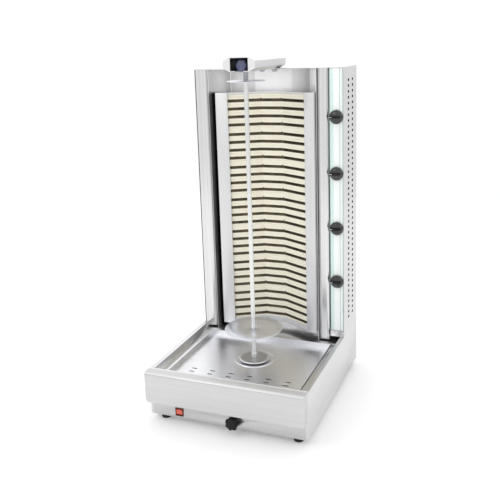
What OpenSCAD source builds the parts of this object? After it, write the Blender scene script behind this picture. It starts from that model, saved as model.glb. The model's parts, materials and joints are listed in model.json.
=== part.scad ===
// Vertical electric rotisserie grill with a turning spit in front of a tall ceramic heater.
// Millimetres. +Z is up, the front faces -Y, and the origin is on the floor under the middle of the machine.

/* [Base] */
// Width of the base and the tower
base_w = 520; // [500:1:640]
// Depth from the drawer's front face to the rear panel
body_d = 630; // [600:1:780]
// Height of the base panels, from their lower edge to the rim
base_h = 150; // [145:1:200]
// Height of the feet below the base panels
foot_h = 20; // [18:1:40]
// Diameter of a foot
foot_dia = 30; // [24:1:40]
// Thickness of all folded sheet
sheet_t = 1.5; // [1:0.1:2]
// Width of the flat rim along the sides and the front
rim_w = 14; // [10:1:20]
// Depth from the rim down to the ledge around the tray
ledge_drop = 23; // [18:1:30]
// Width of the ledge around the tray
ledge_w = 24; // [16:1:34]

/* [Drip tray] */
// Depth from the ledge down to the tray's underside
tray_drop = 15.5; // [12:0.5:20]
// Gap around the tray in its well
tray_gap = 2; // [1:0.5:4]
// Number of drain slots in a row
slot_count = 6; // [3:1:8]
// Distance between drain slots
slot_pitch = 64; // [50:1:70]
// Length of a drain slot
slot_len = 18; // [12:1:30]
// Width of a drain slot
slot_w = 5; // [3:0.5:8]

/* [Grease drawer] */
// Thickness of the drawer's hollow front
drawer_t = 31.5; // [25:0.5:40]
// Height of the drawer's front below the rim
drawer_h = 97; // [90:1:105]
// How far the drawer's rolled top edge stands above the rim
lip_rise = 4; // [0:0.5:6]
// Width of the grease pan behind the drawer's front
pan_w = 400; // [300:1:410]
// Height of the grease pan
pan_h = 42; // [25:1:42]
// Gap between the grease pan and the gearbox at its foremost place
pan_clear = 18; // [5:1:60]

/* [Tower] */
// Height of the tower above the rim
tower_h = 907; // [750:1:1100]
// Depth of the tower
tower_d = 177; // [165:1:230]
// Width of the left column
column_left_w = 46.5; // [40:0.5:50]
// Width of the right column
column_right_w = 41; // [28:1:46]
// Depth of both columns
column_d = 40; // [34:1:50]
// Width of the glass strip that carries the controls
glass_w = 43.5; // [43:0.5:46]
// Thickness of the glass strip
glass_t = 5; // [4:0.5:6]
// Number of cooling hole rows in a tower side
vent_rows = 44; // [10:1:44]
// Distance between cooling hole rows
vent_pitch = 18.9; // [14:0.1:20]
// Height of a cooling hole
vent_dia = 9; // [4:0.5:9]
// Length of a cooling hole
vent_len = 17; // [10:1:24]

/* [Heater] */
// Half of the width between the heater's side strips
heater_half_w = 134; // [120:1:138]
// Half of the width of the middle heater facet
facet_half_w = 37; // [30:1:50]
// Depth of the trough that the three facets form
trough_d = 57; // [40:1:60]
// Height of one ceramic tile
tile_h = 113; // [100:1:125]
// Thickness of a ceramic tile
tile_t = 12; // [11:0.5:14]
// Number of wire grooves in a tile
groove_count = 4; // [2:1:4]
// Height of a wire groove
groove_h = 10; // [8:0.5:14]
// Depth of a wire groove
groove_d = 8; // [7:0.5:9]
// Diameter of a heating coil
coil_dia = 5; // [3:0.5:6]
// Width of the heater's side strips
strip_w = 44; // [30:1:46]

/* [Spit] */
// Distance from the spit's axis to the tower's front
spit_gap = 176; // [170:1:220]
// Diameter of the spit
spit_dia = 14; // [10:1:18]
// Diameter of the lower meat plate
meat_plate_dia = 190; // [140:1:220]
// Height of the lower meat plate above the rim
meat_plate_rise = 73.5; // [50:0.5:150]
// Diameter of the upper disc
top_disc_dia = 120; // [80:1:160]
// Diameter of the drive flange under the spit
flange_dia = 104; // [90:1:120]
// How far the spit moves either way to and from the heater
spit_travel = 15; // [5:1:15]

/* [Top arm] */
// Width of the arm that holds the spit's top
arm_w = 104; // [90:1:120]
// Height of the arm
arm_h = 43; // [40:1:50]
// How far the arm reaches in front of the spit's axis
arm_reach = 52; // [45:1:70]
// Thickness of the arm's sheet
arm_t = 2; // [1.5:0.1:3]
// Width of the opening in the arm's front
arm_window_w = 58; // [48:1:80]
// Lift of the sprung top pin
pin_lift = 18; // [15:1:18]

/* [Controls] */
// Number of heater knobs
knob_count = 4; // [4:1:4]
// Distance between heater knobs
knob_pitch = 184; // [120:1:190]
// Distance from the lid down to the top heater knob
knob_drop = 156; // [80:1:170]
// Diameter of a heater knob
knob_dia = 45; // [36:1:45]
// Height of a heater knob
knob_h = 20; // [16:1:26]
// Width of the power switch with its frame
switch_w = 27; // [24:1:36]
// Height of the power switch with its frame
switch_h = 26; // [24:1:32]
// Diameter of the star knob that moves the spit
star_dia = 44; // [36:1:46]

/* [Fits] */
// Radial clearance of a shaft that turns or slides in a bore
running = 0.05; // [0.02:0.01:0.1]
// Gap between pieces that pass each other
pass_gap = 0.5; // [0.3:0.1:1]

/* [Hidden] */
$fn = 64;
eps = 0.01;
over = 1;

// Main levels, from the floor up.
floor_z = foot_h;
rim_z = foot_h + base_h;
ledge_z = rim_z - ledge_drop;
shelf_z = ledge_z - tray_drop;
tray_top_z = shelf_z + sheet_t;
lid_z = rim_z + tower_h;
lid_under_z = lid_z - sheet_t;
plate_z = floor_z + sheet_t;
plate_top_z = plate_z + sheet_t;

// Main planes, from front to rear.
gland_out = 16;
overall_d = body_d + gland_out;
front_y = -overall_d / 2;
rear_y = front_y + body_d;
panel_y = front_y + drawer_t + pass_gap;
tower_y = rear_y - tower_d;
spit_y = tower_y - spit_gap;
deck_y = tower_y - 20;
inner_rear_y = rear_y - sheet_t;

// Half widths, from the outside in.
half_w = base_w / 2;
wall_x = half_w - sheet_t;
rim_x = half_w - rim_w;
well_x = rim_x - ledge_w;
shelf_w = 14;
shelf_x = well_x - shelf_w;

// Base details.
low_flange_w = 18;
return_w = 8;
rail_low_z = rim_z - 42;
front_ledge_w = 20;
plinth_top_z = rim_z - drawer_h + 2;
foot_inset_x = 38;
foot_inset_y = 28;
foot_spots = [
    [half_w - foot_inset_x, panel_y + foot_inset_y], [half_w - foot_inset_x, rear_y - foot_inset_y],
    [foot_inset_x - half_w, panel_y + foot_inset_y], [foot_inset_x - half_w, rear_y - foot_inset_y]
];
stud_r = 4;
nut_r = 8;
nut_h = 5;
stud_hole_r = stud_r + 0.5;
stud_top_z = plate_top_z + nut_h + 4;
stud_sink = 10;
floor_vent = [8, 90];
floor_vent_pitch = 22;
floor_vent_count = 7;

// Drawer details.
drawer_z = rim_z - drawer_h;
drawer_top_z = rim_z + lip_rise;
lip_r = 7;
corner_r = 6;
pan_t = 1.2;
pan_z = drawer_z + 5;
runner_z = pan_z - pass_gap;
runner_lap = 10;
runner_flange_h = 20;

// Tray details.
tray_x = well_x - tray_gap;
tray_front_y = panel_y + rim_w + front_ledge_w + tray_gap;
tray_back_y = deck_y - tray_gap;
tray_lip_z = ledge_z + 2;
slot_row_gap = 23;
slot_row_in = 60;
slot_row_y = tray_front_y + slot_row_in;
bead_r = 2.5;
bead_ring_r = flange_dia / 2 + 12;

// Spit carriage details.
rail_x = 70;
rail_r = 6;
rail_z = plate_top_z + 25;
screw_x = 24;
screw_r = 6;
screw_z = rail_z - 7;
bracket_t = 6;
bracket_half_w = rail_x + 25;
bracket_top_z = rail_z + 18;
bracket_front_y = panel_y + 30;
carriage_front = 55;
carriage_back = 75;
bracket_rear_y = spit_y + carriage_back + spit_travel + 15;
floor_vent_y = bracket_rear_y + 40;
carriage_z = rail_z + 10;
carriage_t = 8;
nut_block_drop = 25;
carriage_top_z = carriage_z + carriage_t;
slider_half_w = 12;
slider_l = 30;
slider_drop = 20;
nut_block_l = 25;
box_half = 42;
pan_back_y = spit_y - box_half - spit_travel - pan_clear;
gearbox_h = shelf_z - carriage_top_z - 15;
motor_r = min(30, (shelf_z - carriage_top_z) / 2 - 2);
motor_z = carriage_top_z + motor_r + 1;
motor_l = 80;
motor_cap_l = 14;
spindle_r = 10;
spindle_foot_z = carriage_top_z + 10;
flange_z = tray_top_z + bead_r + 1.1;
flange_t = 5;
flange_top_z = flange_z + flange_t;
collar_r = 10;
collar_t = 4;
collar_gap = 0.2;

// Spit details.
spit_r = spit_dia / 2;
socket_r = spit_r + 3.5;
socket_h = 21;
spit_foot_z = flange_top_z - 2;
spit_top_z = lid_z - 27;
pin_r = 8;
nose_r = 4;
nose_h = 12;
plate_t = 3;
meat_plate_z = rim_z + meat_plate_rise;
hub_r = spit_r + 5;
hub_h = 9;
disc_t = 2;
disc_z = spit_top_z - 4;

// Arm details.
arm_half_w = arm_w / 2;
arm_front_y = spit_y - arm_reach;
arm_back_y = tower_y + 50;
arm_top_z = lid_z + arm_h;
arm_floor_z = lid_z + arm_t;
arm_bevel = [20, 11];
bolt_r = 4;
bolt_hole_r = bolt_r + 0.2;
bolt_head_r = 7;
bolt_head_h = 5;
bolt_x = 22;
bolt_ys = [tower_y + 14, tower_y + 36];
block_half_w = 24;
block_front = 15;
block_back = 20;
block_gap = 0.3;
pin_top_z = arm_top_z - arm_t - pin_lift - 1;
stem_r = 5;
stem_in = 5.5;
clamp_r = 20;
clamp_l = 20;
clamp_z = lid_z + arm_h / 2 - 4;
clamp_room = 1.5;
clamp_gap = 3;

// Tower details.
column_foot_z = ledge_z + 9;
column_r = 14;
column_outer_r = 4;
column_left_x = -wall_x;
glass_edge_gap = 1;
glass_x = wall_x - glass_edge_gap - glass_w;
column_right_x = glass_x - 2 - column_right_w;
sill_h = 21;
glass_z = rim_z + sill_h + sheet_t;
backing_y = tower_y + glass_t + 1;
vent_start_z = rim_z + 52;
vent_ys = [tower_y + 66, tower_y + 120];
louvre = [110, 6];
louvre_pitch = 60;
louvre_count = floor((tower_h - 160) / louvre_pitch);

// Heater details: the trough's corners in plan, and its levels.
heater_y = tower_y - 11;
heater_z = rim_z + 30;
heater_top_gap = 82;
tile_gap = 0.4;
tile_pitch = tile_h + tile_gap;
tile_count = floor((lid_z - heater_top_gap - heater_z) / tile_pitch);
heater_top_z = heater_z + tile_count * tile_pitch;
groove_first = 22;
groove_pitch = (tile_h - groove_first - groove_h) / (groove_count - 1);
insulation_t = 5;
facets = [
    [[-heater_half_w, heater_y], [-facet_half_w, heater_y + trough_d]],
    [[-facet_half_w, heater_y + trough_d], [facet_half_w, heater_y + trough_d]],
    [[facet_half_w, heater_y + trough_d], [heater_half_w, heater_y]]
];
channel_h = 20;
top_channel_h = 6;
channel_d = tile_t + 3;
strip_y = heater_y - 6;
strip_out = heater_half_w + strip_w;
strip_z = heater_z - channel_h;
liner_side_y = tower_y + 35;
liner_back_y = heater_y + trough_d + 25;
liner_flat_x = 141;
liner_back_x = 64;
liner_left_x = column_left_x + column_left_w + 3;
liner_right_x = column_right_x - sheet_t;
liner_pts = [
    [liner_left_x, tower_y], [liner_left_x, liner_side_y], [-liner_flat_x, liner_side_y],
    [-liner_back_x, liner_back_y], [liner_back_x, liner_back_y], [liner_flat_x, liner_side_y],
    [liner_right_x, liner_side_y], [liner_right_x, tower_y]
];

// Control details.
knob_x = wall_x - knob_dia / 2 + 1;
knob_back_y = tower_y - 2;
knob_skirt_t = 6;
knob_step = [6, 3];
knob_bar_in = [2, 6];
knob_bar_half = 5;
shaft_r = 3;
shaft_in = 18;
shaft_hole_r = 5;
regulator = [38, 40, 44];
switch_x = -half_w + 100;
switch_z = floor_z + 19;
switch_lip = 2;
switch_wall = 3;
switch_body = [switch_w / 2 - switch_wall + 1, switch_h / 2 - switch_wall + 1];
switch_deep = 22;
paddle_r = switch_h / 2 - switch_wall;
paddle_y = panel_y + 6;
paddle_gap = 0.3;
star_lobes = 7;
star_l = 24;
star_y = front_y + 5;
gland_x = -half_w + 90;
gland_z = floor_z + 45;
gland_bore_r = 5;
gland_r = 11;
gland_nut_r = 15;
gland_thread_r = 8;
gland_nut_t = 5;

// ---- shape helpers ----

module slab(low, high) {
    translate(low) cube(high - low);
}

// Extrudes an outline drawn in X and Z along Y.
module along_y(from_y, to_y) {
    translate([0, to_y, 0]) rotate([90, 0, 0]) linear_extrude(to_y - from_y) children();
}

// Extrudes an outline drawn in Y and Z along X.
module along_x(from_x, to_x) {
    translate([from_x, 0, 0]) rotate([90, 0, 90]) linear_extrude(to_x - from_x) children();
}

module rod_y(r, from_y, to_y) {
    translate([0, to_y, 0]) rotate([90, 0, 0]) cylinder(r = r, h = to_y - from_y);
}

module area(low, high) {
    translate(low) square(high - low);
}

module at_right_and_left() {
    children();
    mirror([1, 0, 0]) children();
}

function plan_angle(p, q) = atan2(q[1] - p[1], q[0] - p[0]);

// A wall strip in plan from p to q, thick to its left, run on a little at both ends to close corners.
module plan_strip(p, q, thick, run_on) {
    translate(p) rotate(plan_angle(p, q)) translate([-run_on, 0]) square([norm(q - p) + 2 * run_on, thick]);
}

// ---- base ----

module side_wall_profile() {
    area([wall_x, floor_z], [half_w, rim_z]);
}

module side_foot_profile() {
    area([half_w - low_flange_w, floor_z], [half_w, plate_z]);
}

module side_fold_profile() {
    area([rim_x, rim_z - sheet_t], [half_w, rim_z]);
    area([rim_x, ledge_z - sheet_t], [rim_x + sheet_t, rim_z]);
    area([well_x, ledge_z - sheet_t], [rim_x + sheet_t, ledge_z]);
    area([well_x, shelf_z - sheet_t], [well_x + sheet_t, ledge_z]);
    area([shelf_x, shelf_z - sheet_t], [well_x + sheet_t, shelf_z]);
}

module base_side() {
    along_y(panel_y, inner_rear_y) side_wall_profile();
    along_y(panel_y + sheet_t, inner_rear_y) side_foot_profile();
    along_y(panel_y + rim_w, inner_rear_y) side_fold_profile();
    slab([half_w - return_w, panel_y, floor_z], [half_w, panel_y + sheet_t, rail_low_z]);
}

module base_side_right() {
    color("gainsboro") base_side();
}

module base_side_left() {
    color("gainsboro") mirror([1, 0, 0]) base_side();
}

module base_floor() {
    color("silver") difference() {
        slab([-wall_x, panel_y + sheet_t, plate_z], [wall_x, inner_rear_y, plate_top_z]);
        for (spot = foot_spots)
            translate([spot[0], spot[1], plate_z - over]) cylinder(r = stud_hole_r, h = sheet_t + 2 * over);
        for (i = [0 : floor_vent_count - 1])
            translate([(i - (floor_vent_count - 1) / 2) * floor_vent_pitch - floor_vent[0] / 2, floor_vent_y,
                plate_z - over])
                cube([floor_vent[0], floor_vent[1], sheet_t + 2 * over]);
    }
}

module base_rear() {
    color("gainsboro") difference() {
        slab([-half_w, inner_rear_y, floor_z], [half_w, rear_y, rim_z]);
        translate([gland_x, 0, gland_z]) rod_y(gland_thread_r, inner_rear_y - over, rear_y + over);
    }
}

module plinth_front() {
    color("silver") difference() {
        union() {
            slab([return_w - half_w, panel_y, floor_z], [half_w - return_w, panel_y + sheet_t, plinth_top_z]);
            slab([low_flange_w - half_w, panel_y, floor_z],
                [half_w - low_flange_w, panel_y + low_flange_w, plate_z]);
        }
        translate([screw_x, 0, screw_z]) rod_y(screw_r + pass_gap, panel_y - over, panel_y + sheet_t + over);
        slab([switch_x - switch_body[0], panel_y - over, switch_z - switch_body[1]],
            [switch_x + switch_body[0], panel_y + sheet_t + over, switch_z + switch_body[1]]);
    }
}

module front_rail() {
    ledge_front_y = panel_y + rim_w;
    ledge_back_y = ledge_front_y + front_ledge_w;
    color("gainsboro") union() {
        along_x(-wall_x, wall_x) union() {
            area([panel_y, rail_low_z], [panel_y + sheet_t, rim_z]);
            area([panel_y, rim_z - sheet_t], [ledge_front_y, rim_z]);
            area([ledge_front_y - sheet_t, ledge_z - sheet_t], [ledge_front_y, rim_z]);
        }
        along_x(-well_x, well_x)
            area([ledge_front_y - sheet_t, ledge_z - sheet_t], [ledge_back_y, ledge_z]);
        along_x(-shelf_x, shelf_x) union() {
            area([ledge_back_y - sheet_t, shelf_z - sheet_t], [ledge_back_y, ledge_z]);
            area([ledge_back_y - sheet_t, shelf_z - sheet_t], [ledge_back_y + shelf_w, shelf_z]);
        }
    }
}

module rear_deck() {
    color("gainsboro") union() {
        slab([-rim_x, deck_y, ledge_z], [rim_x, inner_rear_y, ledge_z + sheet_t]);
        along_x(-shelf_x, shelf_x) union() {
            area([deck_y, shelf_z - sheet_t], [deck_y + sheet_t, ledge_z]);
            area([deck_y - shelf_w, shelf_z - sheet_t], [deck_y + sheet_t, shelf_z]);
        }
    }
}

module foot_pads() {
    color("black") for (spot = foot_spots)
        translate([spot[0], spot[1], 0]) difference() {
            cylinder(r = foot_dia / 2, h = plate_z - nut_h);
            translate([0, 0, plate_z - nut_h - stud_sink]) cylinder(r = stud_r, h = stud_sink + over);
        }
}

module foot_studs() {
    color("silver") for (spot = foot_spots)
        translate([spot[0], spot[1], plate_z - nut_h - stud_sink])
            cylinder(r = stud_r, h = stud_top_z - plate_z + nut_h + stud_sink);
}

module foot_nuts() {
    color("silver") for (spot = foot_spots, low = [plate_z - nut_h, plate_top_z])
        translate([spot[0], spot[1], low]) difference() {
            cylinder(r = nut_r, h = nut_h, $fn = 6);
            translate([0, 0, -over]) cylinder(r = stud_r, h = nut_h + 2 * over);
        }
}

// ---- drip tray and grease drawer ----

module slot_plan(long, wide) {
    flat = long - wide;
    union() {
        area([-flat / 2, -wide / 2], [flat / 2, wide / 2]);
        for (end = [-1, 1]) translate([end * flat / 2, 0]) circle(r = wide / 2);
    }
}

module slot_row(row_y) {
    for (i = [0 : slot_count - 1]) {
        mid_x = (i - (slot_count - 1) / 2) * slot_pitch;
        translate([mid_x, row_y, shelf_z - over]) linear_extrude(sheet_t + 2 * over)
            slot_plan(slot_len, slot_w);
    }
}

module drip_tray() {
    slot_half = spindle_r + 2;
    color("silver") difference() {
        union() {
            difference() {
                slab([-tray_x, tray_front_y, shelf_z], [tray_x, tray_back_y, tray_lip_z]);
                slab([sheet_t - tray_x, tray_front_y + sheet_t, tray_top_z],
                    [tray_x - sheet_t, tray_back_y - sheet_t, tray_lip_z + over]);
            }
            translate([0, spit_y, 0]) rotate_extrude() intersection() {
                translate([bead_ring_r, tray_top_z]) circle(r = bead_r);
                area([0, tray_top_z - sheet_t / 2], [bead_ring_r * 2, tray_top_z + bead_r * 2]);
            }
        }
        translate([0, spit_y, shelf_z - over]) linear_extrude(sheet_t + 2 * over) union() {
            area([-slot_half, -spit_travel], [slot_half, spit_travel]);
            for (end = [-1, 1]) translate([0, end * spit_travel]) circle(r = slot_half);
        }
        slot_row(slot_row_y);
        slot_row(slot_row_y + slot_row_gap);
    }
}

// The drawer front's outline from the front, with its two lower corners rounded.
module drawer_face(inset) {
    low = drawer_z + inset;
    wide = half_w - inset;
    r = corner_r - inset;
    area([-wide, low + r], [wide, drawer_top_z - inset]);
    area([-wide + r, low], [wide - r, drawer_top_z - inset]);
    for (side = [-1, 1]) translate([side * (wide - r), low + r]) circle(r = r);
}

// The drawer front's outline from the side, with its top front edge rolled.
module drawer_lip(inset) {
    high = drawer_top_z - inset;
    near = front_y + inset;
    r = lip_r - inset;
    area([near, drawer_z - over], [front_y + drawer_t + over, high - r]);
    area([near + r, drawer_z - over], [front_y + drawer_t + over, high]);
    translate([near + r, high - r]) circle(r = r);
}

module drawer_solid(inset, back_y) {
    intersection() {
        along_y(front_y - over, back_y) drawer_face(inset);
        along_x(-half_w - over, half_w + over) drawer_lip(inset);
    }
}

module drawer_front() {
    color("gainsboro") difference() {
        drawer_solid(0, front_y + drawer_t);
        drawer_solid(sheet_t, front_y + drawer_t + over);
    }
}

module grease_pan() {
    color("silver") difference() {
        slab([-pan_w / 2, front_y + sheet_t, pan_z], [pan_w / 2, pan_back_y, pan_z + pan_h]);
        slab([pan_t - pan_w / 2, front_y + sheet_t + pan_t, pan_z + pan_t],
            [pan_w / 2 - pan_t, pan_back_y - pan_t, pan_z + pan_h + over]);
    }
}

module drawer_runners() {
    color("silver") at_right_and_left() along_y(panel_y + sheet_t, pan_back_y) union() {
        area([pan_w / 2 - runner_lap, runner_z - sheet_t], [wall_x, runner_z]);
        area([wall_x - sheet_t, runner_z - sheet_t], [wall_x, runner_z + runner_flange_h]);
    }
}

// ---- spit drive ----

module guide_rails() {
    color("silver") at_right_and_left() translate([rail_x, 0, rail_z])
        rod_y(rail_r, bracket_front_y, bracket_rear_y + bracket_t);
}

module rail_bracket(near_y, bore_r) {
    difference() {
        slab([-bracket_half_w, near_y, plate_top_z], [bracket_half_w, near_y + bracket_t, bracket_top_z]);
        for (side = [-1, 1]) translate([side * rail_x, 0, rail_z])
            rod_y(rail_r, near_y - over, near_y + bracket_t + over);
        translate([screw_x, 0, screw_z]) rod_y(bore_r, near_y - over, near_y + bracket_t + over);
    }
}

module rail_brackets() {
    color("gray") union() {
        rail_bracket(bracket_front_y, screw_r + running);
        rail_bracket(bracket_rear_y, screw_r + running);
    }
}

module carriage_plate() {
    near_y = spit_y - carriage_front;
    far_y = spit_y + carriage_back;
    color("gray") difference() {
        union() {
            slab([-rail_x - slider_half_w, near_y, carriage_z],
                [rail_x + slider_half_w, far_y, carriage_top_z]);
            for (side = [-1, 1], low_y = [near_y, far_y - slider_l])
                slab([side * rail_x - slider_half_w, low_y, carriage_z - slider_drop],
                    [side * rail_x + slider_half_w, low_y + slider_l, carriage_z + over]);
            slab([screw_x - slider_half_w, spit_y - nut_block_l, carriage_z - nut_block_drop],
                [screw_x + slider_half_w, spit_y, carriage_z + over]);
        }
        for (side = [-1, 1]) translate([side * rail_x, 0, rail_z])
            rod_y(rail_r + running, near_y - over, far_y + over);
        translate([screw_x, 0, screw_z]) rod_y(screw_r + running, near_y - over, far_y + over);
    }
}

module gearbox() {
    color("dimgray") difference() {
        union() {
            slab([-box_half, spit_y - box_half, carriage_top_z],
                [box_half, spit_y + box_half, carriage_top_z + gearbox_h - 4]);
            translate([0, spit_y, carriage_top_z]) cylinder(r = spindle_r + 10, h = gearbox_h);
        }
        translate([0, spit_y, spindle_foot_z]) cylinder(r = spindle_r + running, h = gearbox_h);
    }
}

module gear_motor() {
    near_y = spit_y + box_half;
    color("dimgray") translate([0, 0, motor_z]) union() {
        rod_y(motor_r, near_y, near_y + motor_l);
        rod_y(motor_r - 6, near_y + motor_l, near_y + motor_l + motor_cap_l);
    }
}

module drive_spindle() {
    color("silver") translate([0, spit_y, spindle_foot_z + pass_gap])
        cylinder(r = spindle_r, h = flange_z - spindle_foot_z - pass_gap);
}

module drive_flange() {
    rim_r = flange_dia / 2;
    color("silver") translate([0, spit_y, 0]) rotate_extrude() polygon([
        [0, flange_z], [rim_r - 4, flange_z], [rim_r, flange_z + 2],
        [rim_r, flange_top_z - 1], [rim_r - 1, flange_top_z], [rim_r - 3, flange_top_z],
        [rim_r - 7, flange_top_z - 2], [0, flange_top_z - 2]
    ]);
}

module spit_socket() {
    color("silver") translate([0, spit_y, flange_top_z - 2]) difference() {
        cylinder(r = socket_r, h = socket_h);
        translate([0, 0, -over]) cylinder(r = spit_r + running, h = socket_h + 2 * over);
        for (turn = [0, 90]) rotate([0, 0, turn])
            slab([-socket_r - over, -1.5, -over], [socket_r + over, 1.5, socket_h / 2]);
    }
}

module spit_shaft() {
    color("whitesmoke") translate([0, spit_y, 0]) difference() {
        translate([0, 0, spit_foot_z]) cylinder(r = spit_r, h = spit_top_z - spit_foot_z);
        translate([0, 0, spit_top_z - nose_h - 2]) cylinder(r = nose_r + running, h = nose_h + 2 + over);
    }
}

module meat_plate() {
    color("whitesmoke") translate([0, spit_y, 0]) difference() {
        union() {
            translate([0, 0, meat_plate_z - plate_t])
                cylinder(r = meat_plate_dia / 2, h = plate_t, $fn = 128);
            translate([0, 0, meat_plate_z - plate_t - hub_h]) cylinder(r = hub_r, h = hub_h);
        }
        translate([0, 0, meat_plate_z - plate_t - hub_h - over])
            cylinder(r = spit_r + running, h = plate_t + hub_h + 2 * over);
    }
}

module top_disc() {
    color("whitesmoke") translate([0, spit_y, 0]) difference() {
        union() {
            translate([0, 0, disc_z]) cylinder(r = top_disc_dia / 2, h = disc_t, $fn = 128);
            translate([0, 0, disc_z - 4]) cylinder(r = spit_r + 3, h = 4);
        }
        translate([0, 0, disc_z - 4 - over]) cylinder(r = spit_r + running, h = disc_t + 4 + 2 * over);
    }
}

module distance_screw() {
    color("silver") translate([screw_x, 0, screw_z]) union() {
        rod_y(screw_r, star_y + 4, spit_y + 30);
        for (low_y = [bracket_front_y - collar_t - collar_gap, bracket_front_y + bracket_t + collar_gap])
            rod_y(collar_r, low_y, low_y + collar_t);
    }
}

module distance_knob() {
    lobe_r = star_dia * 0.17;
    color("black") translate([screw_x, 0, screw_z]) difference() {
        union() {
            rod_y(star_dia / 2 - lobe_r * 0.6, star_y, star_y + star_l - 6);
            rod_y(star_dia / 4, star_y, star_y + star_l);
            for (i = [0 : star_lobes - 1]) rotate([0, i * 360 / star_lobes, 0])
                translate([star_dia / 2 - lobe_r, 0, 0]) rod_y(lobe_r, star_y, star_y + star_l - 6);
        }
        rod_y(screw_r, star_y + 4, star_y + star_l + over);
    }
}

// ---- tower ----

module vent_field() {
    for (row = [0 : vent_rows - 1], vent_y = vent_ys) {
        vent_z = vent_start_z + row * vent_pitch;
        if (vent_z < lid_under_z - vent_dia)
            along_x(wall_x - over, half_w + over) translate([vent_y, vent_z]) slot_plan(vent_len, vent_dia);
    }
}

module tower_side() {
    difference() {
        slab([wall_x, tower_y, rim_z], [half_w, rear_y, lid_under_z]);
        vent_field();
    }
}

module tower_side_right() {
    color("gainsboro") tower_side();
}

module tower_side_left() {
    color("gainsboro") mirror([1, 0, 0]) tower_side();
}

module tower_rear() {
    color("gainsboro") difference() {
        slab([-wall_x, inner_rear_y, rim_z], [wall_x, rear_y, lid_under_z]);
        for (row = [0 : louvre_count - 1], side = [-1, 1]) {
            low_z = rim_z + 90 + row * louvre_pitch;
            slab([side * half_w / 2 - louvre[0] / 2, inner_rear_y - over, low_z],
                [side * half_w / 2 + louvre[0] / 2, rear_y + over, low_z + louvre[1]]);
        }
    }
}

module tower_lid() {
    color("gainsboro") difference() {
        slab([-half_w, tower_y - sheet_t, lid_under_z], [half_w, rear_y, lid_z]);
        for (side = [-1, 1], bolt_y = bolt_ys)
            translate([side * bolt_x, bolt_y, lid_under_z - over])
                cylinder(r = bolt_hole_r, h = sheet_t + 2 * over);
    }
}

// A column's plan outline from its left edge, with its left and right front corners rounded.
module column_plan(low_x, wide, deep, left_r, right_r) {
    high_x = low_x + wide;
    area([low_x, tower_y + left_r], [high_x - right_r, tower_y + deep]);
    area([low_x + left_r, tower_y], [high_x - right_r, tower_y + deep]);
    translate([low_x + left_r, tower_y + left_r]) circle(r = left_r);
    area([low_x + left_r, tower_y + right_r], [high_x, tower_y + deep]);
    translate([high_x - right_r, tower_y + right_r]) circle(r = right_r);
}

module column(low_x, wide, left_r, right_r) {
    translate([0, 0, column_foot_z]) linear_extrude(lid_under_z - column_foot_z) difference() {
        column_plan(low_x, wide, column_d, left_r, right_r);
        translate([0, sheet_t])
            column_plan(low_x + sheet_t, wide - 2 * sheet_t, column_d, left_r - sheet_t, right_r - sheet_t);
    }
}

module column_left() {
    color("gainsboro") difference() {
        column(column_left_x, column_left_w, column_outer_r, column_r);
        slab([-half_w, tower_y - over, 0], [-rim_x, rear_y, rim_z]);
    }
}

module column_right() {
    color("gainsboro") column(column_right_x, column_right_w, column_r, column_r);
}

module knob_spots() {
    for (i = [0 : knob_count - 1]) translate([knob_x, 0, lid_z - knob_drop - i * knob_pitch]) children();
}

module glass_fascia() {
    color([0.8, 0.93, 0.9, 0.6]) difference() {
        slab([glass_x, tower_y + 1, glass_z], [glass_x + glass_w, tower_y + 1 + glass_t, lid_under_z]);
        knob_spots() rod_y(shaft_hole_r, tower_y - over, tower_y + glass_t + 2 * over);
    }
}

module fascia_backing() {
    color("silver") difference() {
        slab([glass_x - 1.5, backing_y, rim_z], [wall_x, backing_y + sheet_t, lid_under_z]);
        knob_spots() rod_y(shaft_hole_r, backing_y - over, backing_y + sheet_t + over);
    }
}

module glass_sill() {
    color("gainsboro") along_x(glass_x - 1.5, wall_x) union() {
        area([tower_y, rim_z], [tower_y + sheet_t, rim_z + sill_h]);
        area([tower_y, rim_z + sill_h - sheet_t], [backing_y, rim_z + sill_h]);
        area([tower_y, rim_z], [backing_y, rim_z + sheet_t]);
    }
}

module energy_regulators() {
    low_y = backing_y + sheet_t;
    color("ivory") knob_spots() difference() {
        slab([-regulator[0] / 2, low_y, -regulator[2] / 2],
            [min(regulator[0] / 2, wall_x - knob_x - 1), low_y + regulator[1], regulator[2] / 2]);
        rod_y(shaft_r + running, low_y - over, tower_y + shaft_in + pass_gap);
    }
}

// ---- heater ----

module heat_liner() {
    color("whitesmoke") translate([0, 0, ledge_z + sheet_t])
        linear_extrude(lid_under_z - ledge_z - sheet_t) for (i = [0 : len(liner_pts) - 2])
            intersection() {
                plan_strip(liner_pts[i], liner_pts[i + 1], sheet_t, sheet_t);
                area([liner_left_x - sheet_t, tower_y], [liner_right_x + sheet_t, rear_y]);
            }
}

// A folded side strip: its front face, its outer wall back to the liner, and a short inner return.
module heater_strip(out_x) {
    top_z = heater_top_z + top_channel_h;
    translate([0, 0, strip_z]) linear_extrude(top_z - strip_z) union() {
        area([heater_half_w, strip_y], [out_x, strip_y + sheet_t]);
        area([out_x - sheet_t, strip_y], [out_x, liner_side_y]);
        area([heater_half_w, strip_y], [heater_half_w + sheet_t, heater_y - sheet_t]);
    }
}

// The right column stands nearer to the middle than the left one, so the right strip may be narrower.
module heater_strip_right() {
    color("whitesmoke") heater_strip(min(strip_out, liner_right_x - 2));
}

module heater_strip_left() {
    color("whitesmoke") mirror([1, 0, 0]) heater_strip(strip_out);
}

module facet_bars(thick, depth_from, low_z, high_z) {
    for (facet = facets)
        translate([facet[0][0], facet[0][1], low_z]) rotate([0, 0, plan_angle(facet[0], facet[1])])
            translate([0, depth_from, 0]) cube([norm(facet[1] - facet[0]), thick, high_z - low_z]);
}

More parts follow.
